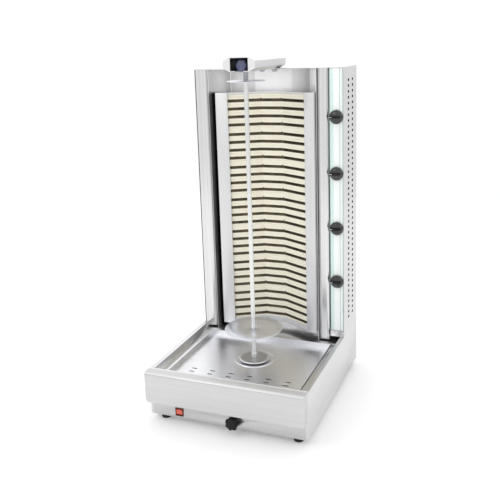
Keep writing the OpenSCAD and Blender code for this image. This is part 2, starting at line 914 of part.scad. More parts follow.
module heater_bottom_channel() {
    color("whitesmoke") union() {
        translate([0, 0, strip_z]) linear_extrude(channel_h) for (facet = facets)
            plan_strip(facet[0], facet[1], sheet_t, 0.6);
        translate([0, 0, heater_z - sheet_t]) linear_extrude(sheet_t) for (facet = facets)
            plan_strip(facet[0], facet[1], channel_d, 0);
    }
}

module heater_top_channel() {
    color("whitesmoke") union() {
        translate([0, 0, heater_top_z]) linear_extrude(top_channel_h) for (facet = facets)
            plan_strip(facet[0], facet[1], sheet_t, 0.6);
        translate([0, 0, heater_top_z]) linear_extrude(sheet_t) for (facet = facets)
            plan_strip(facet[0], facet[1], channel_d, 0);
    }
}

module tile_profile() {
    difference() {
        area([0, 0], [tile_t, tile_h]);
        for (i = [0 : groove_count - 1])
            translate([-over, tile_h - groove_first - groove_pitch * i - groove_h / 2])
                square([groove_d + over, groove_h]);
    }
}

module on_facet(facet) {
    translate([facet[0][0], facet[0][1], 0]) rotate([0, 0, plan_angle(facet[0], facet[1])]) children();
}

module tile_stack(facet) {
    on_facet(facet) for (i = [0 : tile_count - 1])
        translate([0, 0, heater_z + i * tile_pitch]) along_x(0, norm(facet[1] - facet[0])) tile_profile();
}

module ceramic_left() {
    color("cornsilk") tile_stack(facets[0]);
}

module ceramic_centre() {
    color("cornsilk") tile_stack(facets[1]);
}

module ceramic_right() {
    color("cornsilk") tile_stack(facets[2]);
}

module heating_coils() {
    inset = 2;
    color("darkolivegreen") for (facet = facets) on_facet(facet)
        for (i = [0 : tile_count - 1], g = [0 : groove_count - 1])
            translate([inset, groove_d - coil_dia / 2 - 0.5,
                heater_z + i * tile_pitch + tile_h - groove_first - groove_pitch * g])
                rotate([0, 90, 0])
                    cylinder(r = coil_dia / 2, h = norm(facet[1] - facet[0]) - 2 * inset, $fn = 16);
}

module insulation_board() {
    color("beige") facet_bars(insulation_t, tile_t, heater_z, heater_top_z);
}

// ---- top arm ----

module arm_outline(inset) {
    wide = arm_half_w - inset;
    low = lid_z + inset;
    high = arm_top_z - inset;
    cut = [arm_bevel[0] - inset / 2, arm_bevel[1] - inset / 2];
    polygon([
        [-wide + cut[0], low], [wide - cut[0], low], [wide, low + cut[1]], [wide, high - cut[1]],
        [wide - cut[0], high], [-wide + cut[0], high], [-wide, high - cut[1]], [-wide, low + cut[1]]
    ]);
}

module arm_channel() {
    sunk = clamp_z - arm_floor_z;
    slot_half = max(pin_r + 2, sqrt(max(0, clamp_r * clamp_r - sunk * sunk)) + clamp_room);
    color("gainsboro") difference() {
        along_y(arm_front_y, arm_back_y) arm_outline(0);
        along_y(arm_front_y + arm_t, arm_back_y + over) arm_outline(arm_t);
        slab([-arm_window_w / 2, arm_front_y - over, arm_floor_z],
            [arm_window_w / 2, arm_front_y + arm_t + over, arm_top_z - arm_t]);
        slab([-slot_half, arm_front_y - over, lid_z - over],
            [slot_half, spit_y + spit_travel + pin_r + 4, arm_floor_z + over]);
        for (side = [-1, 1], bolt_y = bolt_ys)
            translate([side * bolt_x, bolt_y, lid_z - over]) cylinder(r = bolt_hole_r, h = arm_t + 2 * over);
    }
}

module arm_bolts() {
    color("silver") for (side = [-1, 1], bolt_y = bolt_ys) translate([side * bolt_x, bolt_y, 0]) union() {
        translate([0, 0, arm_floor_z]) cylinder(r = bolt_head_r, h = bolt_head_h, $fn = 6);
        translate([0, 0, lid_under_z - 10]) cylinder(r = bolt_r, h = arm_floor_z - lid_under_z + 10 + eps);
        translate([0, 0, lid_under_z - 6]) cylinder(r = bolt_head_r, h = 6, $fn = 6);
    }
}

module bearing_block() {
    color("black") difference() {
        slab([-block_half_w, spit_y - block_front, arm_floor_z + block_gap],
            [block_half_w, spit_y + block_back, arm_top_z - arm_t - block_gap]);
        translate([0, spit_y, lid_z]) cylinder(r = pin_r + running, h = arm_h);
        translate([0, 0, clamp_z]) rod_y(stem_r + running, spit_y - block_front - over, spit_y - pin_r - 1);
    }
}

module bearing_pin() {
    low_z = spit_top_z + pass_gap;
    color("dimgray") translate([0, spit_y, 0]) union() {
        translate([0, 0, low_z]) cylinder(r = pin_r, h = pin_top_z - low_z);
        translate([0, 0, low_z - nose_h]) cylinder(r = nose_r, h = nose_h + eps);
    }
}

module clamp_knob() {
    back_y = spit_y - block_front - clamp_gap;
    color("midnightblue") translate([0, 0, clamp_z]) union() {
        rod_y(stem_r, back_y - eps, spit_y - block_front + stem_in);
        translate([0, back_y, 0]) rotate([90, 0, 0]) rotate_extrude() union() {
            area([0, 0], [clamp_r - 5, clamp_l]);
            area([0, 5], [clamp_r, clamp_l - 7]);
            translate([clamp_r - 5, 5]) circle(r = 5);
            translate([clamp_r - 7, clamp_l - 7]) circle(r = 7);
        }
    }
}

// ---- controls and wiring ----

module heater_knob(i) {
    color("black") translate([knob_x, 0, lid_z - knob_drop - i * knob_pitch]) union() {
        rod_y(knob_dia / 2, knob_back_y - knob_skirt_t, knob_back_y);
        rod_y(knob_dia / 2 - knob_step[0], knob_back_y - knob_skirt_t - knob_step[1],
            knob_back_y - knob_skirt_t + eps);
        slab([-knob_dia / 2 + knob_bar_in[0], knob_back_y - knob_h, -knob_bar_half],
            [knob_dia / 2 - knob_bar_in[1], knob_back_y - knob_skirt_t, knob_bar_half]);
        rod_y(shaft_r, knob_back_y - eps, tower_y + shaft_in);
    }
}

module heater_knob_1() {
    heater_knob(0);
}

module heater_knob_2() {
    heater_knob(1);
}

module heater_knob_3() {
    heater_knob(2);
}

module heater_knob_4() {
    heater_knob(3);
}

module rocker_frame() {
    half = [switch_w / 2, switch_h / 2];
    color("firebrick") translate([switch_x, 0, switch_z]) difference() {
        union() {
            slab([-half[0], panel_y - switch_lip, -half[1]], [half[0], panel_y, half[1]]);
            slab([-switch_body[0], panel_y - over, -switch_body[1]],
                [switch_body[0], panel_y + switch_deep, switch_body[1]]);
        }
        translate([-half[0] + switch_wall, paddle_y, 0]) rotate([0, 90, 0])
            cylinder(r = paddle_r + paddle_gap, h = switch_w - 2 * switch_wall);
        slab([-half[0] + switch_wall, panel_y - switch_lip - over, -paddle_r - paddle_gap],
            [half[0] - switch_wall, paddle_y, paddle_r + paddle_gap]);
    }
}

module rocker_paddle() {
    half = switch_w / 2 - switch_wall - paddle_gap;
    face = paddle_r / 2 + 4;
    dip = 2.5;
    color("red") translate([switch_x, paddle_y, switch_z]) along_x(-half, half) intersection() {
        circle(r = paddle_r);
        polygon([
            [paddle_r, -paddle_r], [paddle_r, paddle_r], [-face, paddle_r - 0.5], [dip - face, 0],
            [-face, 0.5 - paddle_r]
        ]);
    }
}

module terminal_block() {
    way = 12;
    ways = 5;
    size = [way * ways, 22, 18];
    hole = [3, 6];
    corner = [gland_x + 60, rear_y - 90, plate_top_z];
    color("ivory") translate(corner) difference() {
        cube(size);
        for (i = [0 : ways - 1]) translate([way * (i + 0.5), size[1] / 2, size[2] - hole[1]])
            cylinder(r = hole[0], h = hole[1] + over);
    }
}

module cable_gland() {
    color("dimgray") translate([gland_x, 0, gland_z]) difference() {
        union() {
            rod_y(gland_thread_r, inner_rear_y - gland_nut_t, rear_y + eps);
            translate([0, rear_y + gland_nut_t, 0]) rotate([90, 0, 0])
                cylinder(r = gland_nut_r, h = gland_nut_t, $fn = 6);
            translate([0, inner_rear_y, 0]) rotate([90, 0, 0])
                cylinder(r = gland_nut_r, h = gland_nut_t, $fn = 6);
            rod_y(gland_r, rear_y + gland_nut_t - eps, rear_y + gland_out);
        }
        rod_y(gland_bore_r, inner_rear_y - gland_nut_t - over, rear_y + gland_out + over);
    }
}

base_side_left();
base_side_right();
base_floor();
base_rear();
plinth_front();
front_rail();
rear_deck();
drip_tray();
foot_pads();
foot_studs();
foot_nuts();
drawer_front();
grease_pan();
drawer_runners();
guide_rails();
rail_brackets();
carriage_plate();
gearbox();
gear_motor();
drive_spindle();
drive_flange();
spit_socket();
spit_shaft();
meat_plate();
top_disc();
distance_screw();
distance_knob();
tower_side_left();
tower_side_right();
tower_rear();
tower_lid();
column_left();
column_right();
glass_fascia();
fascia_backing();
glass_sill();
heat_liner();
heater_strip_left();
heater_strip_right();
heater_bottom_channel();
heater_top_channel();
ceramic_left();
ceramic_centre();
ceramic_right();
heating_coils();
insulation_board();
arm_channel();
arm_bolts();
bearing_block();
bearing_pin();
clamp_knob();
energy_regulators();
heater_knob_1();
heater_knob_2();
heater_knob_3();
heater_knob_4();
rocker_frame();
rocker_paddle();
terminal_block();
cable_gland();
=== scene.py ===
"""Looks of an upright electric rotisserie grill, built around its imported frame."""

import json
import math

import bmesh
import bpy
from mathutils import Matrix, Vector


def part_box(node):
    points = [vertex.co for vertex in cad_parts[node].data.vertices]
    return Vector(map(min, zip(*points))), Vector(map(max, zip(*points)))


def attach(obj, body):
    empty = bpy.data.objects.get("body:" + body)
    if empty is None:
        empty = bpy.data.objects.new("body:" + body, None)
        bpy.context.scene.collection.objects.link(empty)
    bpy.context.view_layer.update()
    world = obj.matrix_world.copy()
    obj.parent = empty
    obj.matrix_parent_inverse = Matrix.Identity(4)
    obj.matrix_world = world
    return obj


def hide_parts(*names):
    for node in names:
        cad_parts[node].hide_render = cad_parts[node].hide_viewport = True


bl_info = {
    "name": "Rotisserie grill looks",
    "version": (1, 0, 0),
    "blender": (4, 5, 0),
    "location": "View3D > Sidebar > Grill",
    "description": "Builds the finish, the rounded sheet metal and the heater of an upright rotisserie grill",
    "category": "Object",
}

MM = 0.001
X_AXIS = Vector((1, 0, 0))
Y_AXIS = Vector((0, 1, 0))
Z_AXIS = Vector((0, 0, 1))

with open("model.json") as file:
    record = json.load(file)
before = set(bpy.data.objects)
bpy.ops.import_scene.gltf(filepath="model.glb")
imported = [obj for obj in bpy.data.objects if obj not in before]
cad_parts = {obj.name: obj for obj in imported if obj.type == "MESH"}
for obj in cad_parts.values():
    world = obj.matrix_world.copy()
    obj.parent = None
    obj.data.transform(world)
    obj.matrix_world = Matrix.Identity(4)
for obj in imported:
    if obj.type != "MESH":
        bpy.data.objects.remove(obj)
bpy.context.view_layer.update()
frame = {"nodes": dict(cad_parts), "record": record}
node_body = {name: body for body, names in frame["record"]["behaviour"]["bodies"].items() for name in names}
node_slot = {part["node"]: part["material_slot"] for part in frame["record"]["subparts"]}


# ---- sizes and colours that a user would change ----


def length(name, default, description):
    """A length that a user can change."""
    return bpy.props.FloatProperty(
        name=name, description=description, default=default, min=0.0, unit="LENGTH", precision=4
    )


def share(name, default, description):
    """A share from 0 to 1 that a user can change."""
    return bpy.props.FloatProperty(name=name, description=description, default=default, min=0.0, max=1.0)


def colour(name, default, description):
    """A colour that a user can change."""
    return bpy.props.FloatVectorProperty(
        name=name, description=description, default=default, size=3, min=0.0, max=1.0, subtype="COLOR"
    )


def angle(name, degrees, description):
    """An angle that a user can change."""
    return bpy.props.FloatProperty(
        name=name, description=description, default=math.radians(degrees), subtype="ANGLE"
    )


class GrillSteel(bpy.types.PropertyGroup):
    """Folded sheet steel: its edges and its finish."""

    fold_radius: length("Fold radius", 0.0018, "Outside radius of a fold in the sheet")
    edge_ease: length("Edge ease", 0.0004, "Width of the deburred edge of the sheet")
    lip_radius: length("Lip radius", 0.010, "Radius of the drawer front's rolled top edge")
    corner_radius: length("Corner radius", 0.0035, "Radius of the drawer front's other front edges")
    tint: colour("Steel", (0.68, 0.68, 0.685), "Colour of the brushed sheet")
    liner_tint: colour("Liner", (0.84, 0.84, 0.845), "Colour of the bright liner sheet")
    polish_tint: colour("Polish", (0.82, 0.825, 0.82), "Colour of the polished plates and shaft")
    brushed_roughness: share("Brushed roughness", 0.30, "Roughness of the brushed outer sheet")
    tray_tint: colour("Tray", (0.90, 0.905, 0.93), "Colour of the polished drip tray")
    tray_roughness: share("Tray roughness", 0.32, "Roughness of the polished drip tray")


class GrillHeater(bpy.types.PropertyGroup):
    """Ceramic tiles and the wire coils in their grooves."""

    tile_height: length("Tile height", 0.113, "Height of one ceramic tile")
    tile_gap: length("Tile gap", 0.0004, "Joint between two tiles")
    tile_thickness: length("Tile thickness", 0.012, "Thickness of a tile")
    groove_height: length("Groove height", 0.010, "Height of a coil groove")
    groove_depth: length("Groove depth", 0.008, "Depth of a coil groove")
    groove_first: length("First groove", 0.022, "From a tile's top to the middle of its first groove")
    rib_depth: length("Rib depth", 0.0016, "Depth of the fine lines between the grooves")
    coil_radius: length("Coil radius", 0.0025, "Outside radius of a wound coil")
    wire_radius: length("Wire radius", 0.00055, "Radius of the coil's wire")
    coil_pitch: length("Coil pitch", 0.0021, "Distance from turn to turn")
    ceramic: colour("Ceramic", (0.91, 0.875, 0.74), "Colour of the tiles")
    scorch: colour("Scorch", (0.19, 0.155, 0.10), "Colour of the scorched coil grooves")
    wire: colour("Wire", (0.15, 0.13, 0.09), "Colour of the oxidised wire")


class GrillControls(bpy.types.PropertyGroup):
    """Knobs, switch and glass strip."""

    knob_diameter: length("Knob diameter", 0.045, "Diameter of a heater knob's skirt")
    bar_width: length("Bar width", 0.010, "Width of a heater knob's grip bar")
    lobe_count: bpy.props.IntProperty(
        name="Star lobes", description="Lobes round the star knob", default=7, min=3, max=12
    )
    plastic: colour("Plastic", (0.008, 0.008, 0.009), "Colour of the black plastic")
    clamp: colour("Clamp knob", (0.075, 0.085, 0.16), "Colour of the clamp knob")
    lens: colour("Switch", (0.60, 0.09, 0.05), "Colour of the switch")
    glass: colour("Glass", (0.70, 0.86, 0.82), "Green cast of the glass strip")


class GrillStage(bpy.types.PropertyGroup):
    """Camera, floor and light."""

    lens: bpy.props.FloatProperty(
        name="Lens", description="Focal length", default=51.31, min=10, max=200, unit="CAMERA"
    )
    yaw: angle("Turn", 22.034, "Turn of the camera to the left")
    pitch: angle("Tilt", 12.416, "Tilt of the camera downwards")
    roll: angle("Roll", -1.805, "Roll of the camera")
    place: bpy.props.FloatVectorProperty(
        name="Place", description="Place of the camera", default=(0.8283, -2.0892, 1.1599), size=3,
        subtype="TRANSLATION"
    )
    drop: bpy.props.FloatProperty(name="Drop", description="Vertical lens shift", default=-0.10)
    floor_colour: colour("Floor", (0.94, 0.94, 0.94), "Colour of the floor")
    floor_glow: share("Floor glow", 0.14, "Light that the floor gives by itself")


# ---- node helpers ----


def add_node(tree, kind, inputs=None, **settings):
    """Adds one node; an input is a value or another node's output."""
    made = tree.nodes.new(kind)
    for key, value in settings.items():
        setattr(made, key, value)
    for key, value in (inputs or {}).items():
        if isinstance(value, bpy.types.NodeSocket):
            tree.links.new(value, made.inputs[key])
        else:
            made.inputs[key].default_value = value
    return made


def new_group(name, inputs, outputs):
    """A node group with named sockets, and its two end nodes."""
    tree = bpy.data.node_groups.new(name, "ShaderNodeTree")
    for title, kind in inputs:
        tree.interface.new_socket(name=title, in_out="INPUT", socket_type=kind)
    for title, kind in outputs:
        tree.interface.new_socket(name=title, in_out="OUTPUT", socket_type=kind)
    return tree, tree.nodes.new("NodeGroupInput"), tree.nodes.new("NodeGroupOutput")


def spread(tree, value, low, high, from_low=0.0, from_high=1.0):
    """Maps a value from one range to another."""
    return add_node(
        tree, "ShaderNodeMapRange",
        {"Value": value, "From Min": from_low, "From Max": from_high, "To Min": low, "To Max": high},
    ).outputs["Result"]


def combined(tree, operation, first, second):
    """Two values put together by a sum, a product or another rule of arithmetic."""
    return add_node(tree, "ShaderNodeMath", {0: first, 1: second}, operation=operation).outputs[0]


def stretched(tree, vector, factors):
    """A vector with each of its parts multiplied."""
    return add_node(tree, "ShaderNodeVectorMath", {0: vector, 1: factors}, operation="MULTIPLY").outputs[0]


def noise(tree, vector, scale, detail, distortion=0.0):
    """Cloudy noise from 0 to 1."""
    inputs = {"Vector": vector, "Scale": scale, "Detail": detail, "Distortion": distortion}
    return add_node(tree, "ShaderNodeTexNoise", inputs).outputs["Fac"]


def colour_bands(tree, value, stops):
    """A run of colours along a value from 0 to 1, given as (place, colour) from end to end."""
    ramp = add_node(tree, "ShaderNodeValToRGB", {0: value})
    bands = ramp.color_ramp.elements
    for position, tone in stops[1:-1]:
        bands.new(position).color = (*tone, 1.0)
    bands[0].color = (*stops[0][1], 1.0)
    bands[len(bands) - 1].color = (*stops[-1][1], 1.0)
    return ramp.outputs[0]


def mixed(tree, factor, first, second):
    """Mixes two colours by a factor."""
    made = add_node(tree, "ShaderNodeMix", {0: factor}, data_type="RGBA")
    for index, value in ((6, first), (7, second)):
        if isinstance(value, bpy.types.NodeSocket):
            tree.links.new(value, made.inputs[index])
        else:
            made.inputs[index].default_value = (*value, 1.0)
    return made.outputs[2]


def grain_group():
    """Brushed grain: long scratches along one direction, in two widths."""
    tree, start, end = new_group(
        "Brushed grain",
        [("Vector", "NodeSocketVector"), ("Stretch", "NodeSocketVector")],
        [("Grain", "NodeSocketFloat"), ("Streak", "NodeSocketFloat")],
    )
    coarser = (0.16, 0.16, 0.16)
    fine = stretched(tree, start.outputs[0], start.outputs[1])
    scratch = noise(tree, fine, 1.0, 4.0)
    band = noise(tree, stretched(tree, fine, coarser), 1.0, 2.0)
    tree.links.new(spread(tree, scratch, 0.0, 1.0, 0.3, 0.7), end.inputs[0])
    tree.links.new(spread(tree, band, 0.0, 1.0, 0.3, 0.7), end.inputs[1])
    return tree


def wipe_group():
    """Wipe marks and finger smears, as a soft mask, and the slow waves of thin sheet."""
    tree, start, end = new_group(
        "Wipe marks",
        [("Vector", "NodeSocketVector"), ("Scale", "NodeSocketFloat")],
        [("Mask", "NodeSocketFloat"), ("Waves", "NodeSocketFloat")],
    )
    smear = noise(tree, start.outputs[0], start.outputs[1], 5.0, 1.6)
    wave = noise(tree, start.outputs[0], 6.0, 1.0)
    tree.links.new(spread(tree, smear, 0.0, 1.0, 0.35, 0.7), end.inputs[0])
    tree.links.new(wave, end.inputs[1])
    return tree


def speckle_group():
    """Pores and moulded grit, as a height and a tone."""
    tree, start, end = new_group(
        "Speckle",
        [("Vector", "NodeSocketVector"), ("Scale", "NodeSocketFloat")],
        [("Height", "NodeSocketFloat"), ("Tone", "NodeSocketFloat")],
    )
    grit = noise(tree, start.outputs[0], start.outputs[1], 6.0)
    cloud = noise(tree, start.outputs[0], 28.0, 3.0)
    tree.links.new(grit, end.inputs[0])
    tree.links.new(spread(tree, cloud, 0.0, 1.0, 0.3, 0.7), end.inputs[1])
    return tree


effects = {"grain": grain_group(), "wipe": wipe_group(), "speckle": speckle_group()}


def effect(tree, name, vector, second):
    """Places one shared effect in a material."""
    made = add_node(tree, "ShaderNodeGroup", node_tree=effects[name])
    tree.links.new(vector, made.inputs[0])
    made.inputs[1].default_value = second
    return made.outputs


def start_material(name):
    """An empty material with its shader, its tree and its object coordinates."""
    made = bpy.data.materials.new(name)
    made.use_nodes = True
    tree = made.node_tree
    shader = tree.nodes["Principled BSDF"]
    place = add_node(tree, "ShaderNodeTexCoord").outputs["Object"]
    return made, tree, shader, place


def set_inputs(tree, shader, **values):
    """Sets sockets of the shader by name, with _ for a space."""
    for key, value in values.items():
        target = shader.inputs[key.replace("_", " ")]
        if isinstance(value, bpy.types.NodeSocket):
            tree.links.new(value, target)
        elif hasattr(value, "__len__") and len(value) == 3 and len(target.default_value) == 4:
            target.default_value = (*value, 1.0)
        else:
            target.default_value = value


def bump(tree, height, strength, distance, normal=None):
    """A normal raised by a height, over another normal where one is given."""
    inputs = {"Height": height, "Strength": strength, "Distance": distance}
    if normal is not None:
        inputs["Normal"] = normal
    return add_node(tree, "ShaderNodeBump", inputs).outputs["Normal"]


GRAIN_FINE = 900.0
GRAIN_LONG = 7.0
ALONG_X = (GRAIN_LONG, GRAIN_FINE, GRAIN_FINE)
ALONG_Y = (GRAIN_FINE, GRAIN_LONG, GRAIN_FINE)
ALONG_Z = (GRAIN_FINE, GRAIN_FINE, GRAIN_LONG)


def shaded(tint, strength, lift=0.0):
    """A colour made darker or paler."""
    return tuple(min(1.0, strength * part + lift) for part in tint)


def tinged(tint, strengths):
    """A colour with its red, green and blue each made weaker or stronger."""
    return tuple(min(1.0, strength * part) for strength, part in zip(strengths, tint))


def steel(name, tint, roughness, stretch, scatter=0.10, wave=0.0, grain_depth=0.00002, streaks=0.96):
    """Steel sheet: grain in its roughness, tone and height, with faint wipe marks and waves."""
    made, tree, shader, place = start_material(name)
    grain, streak = effect(tree, "grain", place, stretch)[:2]
    smear, waves = effect(tree, "wipe", place, 5.0)[:2]
    tone = mixed(tree, streak, shaded(tint, streaks), tint)
    brushed = spread(tree, grain, roughness - scatter / 2, roughness + scatter / 2)
    rough = combined(tree, "ADD", brushed, spread(tree, smear, 0, 0.05))
    normal = bump(tree, grain, 0.22, grain_depth)
    if wave:
        normal = bump(tree, waves, 1.0, wave, normal)
    set_inputs(tree, shader, Base_Color=tone, Roughness=rough, Metallic=1.0, Normal=normal)
    return made


def liner_with_painted_light_and_shade(name, tint, roughness):
    """The liner's sheet: bright, with painted light making its middle facet brightest and its right facet a
    little lighter, and black painted shadow in the recess left of the left strip.
    """
    made = steel(name, tint, roughness, ALONG_Z, scatter=0.06)
    tree = made.node_tree
    shader = tree.nodes["Principled BSDF"]
    strip_low, strip_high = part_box("heater_strip_left")
    place = add_node(tree, "ShaderNodeTexCoord").outputs["Object"]
    parts = add_node(tree, "ShaderNodeSeparateXYZ", {0: place})
    back_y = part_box("heat_liner")[1].y - 2 * MM
    fold_x = min(vert.co.x for vert in frame["nodes"]["heat_liner"].data.vertices if vert.co.y > back_y)
    soft = 0.5 * MM
    # Lighter copies of the liner's tone as painted light on its middle and right facets, and near black for
    # the painted shadow.
    middle_painted_light, right_painted_light, painted_shadow_black = (0.99, 0.99, 1.0), (0.88, 0.88, 0.885), (0.012, 0.012, 0.012)
    facing = spread(tree, parts.outputs["X"], 0.0, 1.0, fold_x - soft, fold_x + soft)
    turned = spread(tree, parts.outputs["X"], 0.0, 1.0, -fold_x - soft, -fold_x + soft)
    # The painted shadow fills the recess left of the left strip, below the strip's top and behind its front.
    outside = spread(tree, parts.outputs["X"], 1.0, 0.0, strip_low.x - 5 * MM, strip_low.x - 1 * MM)
    below = spread(tree, parts.outputs["Z"], 1.0, 0.0, strip_high.z - 6 * MM, strip_high.z + 2 * MM)
    inward = spread(tree, parts.outputs["Y"], 0.0, 1.0, strip_low.y + 8 * MM, strip_high.y)
    painted_shadow_mask = combined(tree, "MULTIPLY", combined(tree, "MULTIPLY", outside, below), inward)
    tone = mixed(tree, facing, shader.inputs["Base Color"].links[0].from_socket, middle_painted_light)
    tone = mixed(tree, turned, tone, right_painted_light)
    rough = shader.inputs["Roughness"].links[0].from_socket
    dull = combined(tree, "ADD", rough, spread(tree, painted_shadow_mask, 0.0, 0.35))
    set_inputs(tree, shader, Base_Color=mixed(tree, painted_shadow_mask, tone, painted_shadow_black), Roughness=dull)
    return made


def turned_steel(name, tint, roughness, smears=0.06, depth=0.00001):
    """Turned or polished round steel: rings round its own upright axis."""
    made, tree, shader, place = start_material(name)
    grain, streak = effect(tree, "grain", place, (40.0, 40.0, 1400.0))[:2]
    smear = effect(tree, "wipe", place, 18.0)[0]
    tone = mixed(tree, streak, shaded(tint, 0.93), tint)
    rough = combined(
        tree, "ADD", spread(tree, grain, roughness, roughness + 0.05), spread(tree, smear, 0, smears)
    )
    set_inputs(
        tree, shader, Base_Color=tone, Roughness=rough, Metallic=1.0, Normal=bump(tree, grain, 0.2, depth)
    )
    return made


def moulded(name, tint, roughness, coat=0.0, grit=0.00002, scale=1800.0, gloss=0.5, coat_ior=1.5):
    """Moulded plastic or rubber: fine grit, dull patches and paler dust."""
    made, tree, shader, place = start_material(name)
    height, tone = effect(tree, "speckle", place, scale)[:2]
    smear = effect(tree, "wipe", place, 30.0)[0]
    set_inputs(
        tree, shader,
        Base_Color=mixed(tree, tone, tint, shaded(tint, 1.25, 0.006)),
        Roughness=spread(tree, smear, roughness, roughness + 0.12),
        Normal=bump(tree, height, 0.3, grit),
        Coat_Weight=coat,
        Coat_Roughness=0.05,
        Coat_IOR=coat_ior,
        Specular_IOR_Level=gloss,
    )
    return made


def ceramic(name, tint):
    """Fired heater ceramic: chalky, with pores and warm scorched patches."""
    made, tree, shader, place = start_material(name)
    height, tone = effect(tree, "speckle", place, 700.0)[:2]
    smear = effect(tree, "wipe", place, 22.0)[0]
    warmer, chalk = (0.95, 0.92, 0.84), (0.94, 0.92, 0.87)
    warm = mixed(tree, spread(tree, tone, 0.0, 0.5), tint, tinged(tint, warmer))
    pale = mixed(tree, spread(tree, smear, 0.0, 0.35), warm, chalk)
    set_inputs(
        tree, shader, Base_Color=pale, Roughness=spread(tree, tone, 0.62, 0.85),
        Normal=bump(tree, height, 0.45, 0.0002),
    )
    return made


def scorched(name, tint):
    """Ceramic inside the grooves, browned by the wire, with paler spots."""
    made, tree, shader, place = start_material(name)
    height, tone = effect(tree, "speckle", place, 600.0)[:2]
    browned = mixed(tree, tone, shaded(tint, 0.7), shaded(tint, 1.5))
    set_inputs(tree, shader, Base_Color=browned, Roughness=0.85, Normal=bump(tree, height, 0.5, 0.0002))
    return made


def wound_wire(name, tint):
    """Oxidised resistance wire: brown and olive, with a dull shine."""
    made, tree, shader, place = start_material(name)
    height, tone = effect(tree, "speckle", place, 900.0)[:2]
    set_inputs(
        tree, shader, Base_Color=mixed(tree, tone, tint, shaded(tint, 1.7)), Metallic=0.4,
        Roughness=spread(tree, tone, 0.45, 0.7), Normal=bump(tree, height, 0.3, 0.0001),
    )
    return made


def backed_glass(name, tint, low_x, high_x):
    """Backed glass: a green cast at its edges, a pale middle that is a painted reflection, and a thin line
    where the backing ends.
    """
    made, tree, shader, place = start_material(name)
    smear = effect(tree, "wipe", place, 9.0)[0]
    across = add_node(tree, "ShaderNodeSeparateXYZ", {0: place}).outputs["X"]
    pale = tuple(1 - 0.22 * (1 - part) for part in tint)
    line = shaded(tint, 0.62)
    # The pale band in the middle is a painted reflection; the green edges and dark lines are the glass's own
    # cast.
    stops = (
        (0.0, line), (0.05, tint), (0.24, tint), (0.34, pale), (0.72, pale), (0.77, line), (0.82, pale),
        (1.0, tint),
    )
    cast = colour_bands(tree, spread(tree, across, 0.0, 1.0, low_x, high_x), stops)
    set_inputs(
        tree, shader, Base_Color=cast, Roughness=spread(tree, smear, 0.03, 0.10), Coat_Weight=0.5,
        Coat_Roughness=0.02,
    )
    return made


def switch_lens(name, tint):
    """Translucent red plastic, faintly lit from inside."""
    made, tree, shader, place = start_material(name)
    height, tone = effect(tree, "speckle", place, 500.0)[:2]
    shade = mixed(tree, tone, tint, shaded(tint, 1.3, 0.01))
    set_inputs(
        tree, shader, Base_Color=shade, Roughness=spread(tree, tone, 0.16, 0.26), Coat_Weight=0.6,
        Coat_Roughness=0.05, Emission_Color=shade, Emission_Strength=0.10,
        Normal=bump(tree, height, 0.2, 0.00003),
    )
    return made


finish = {}


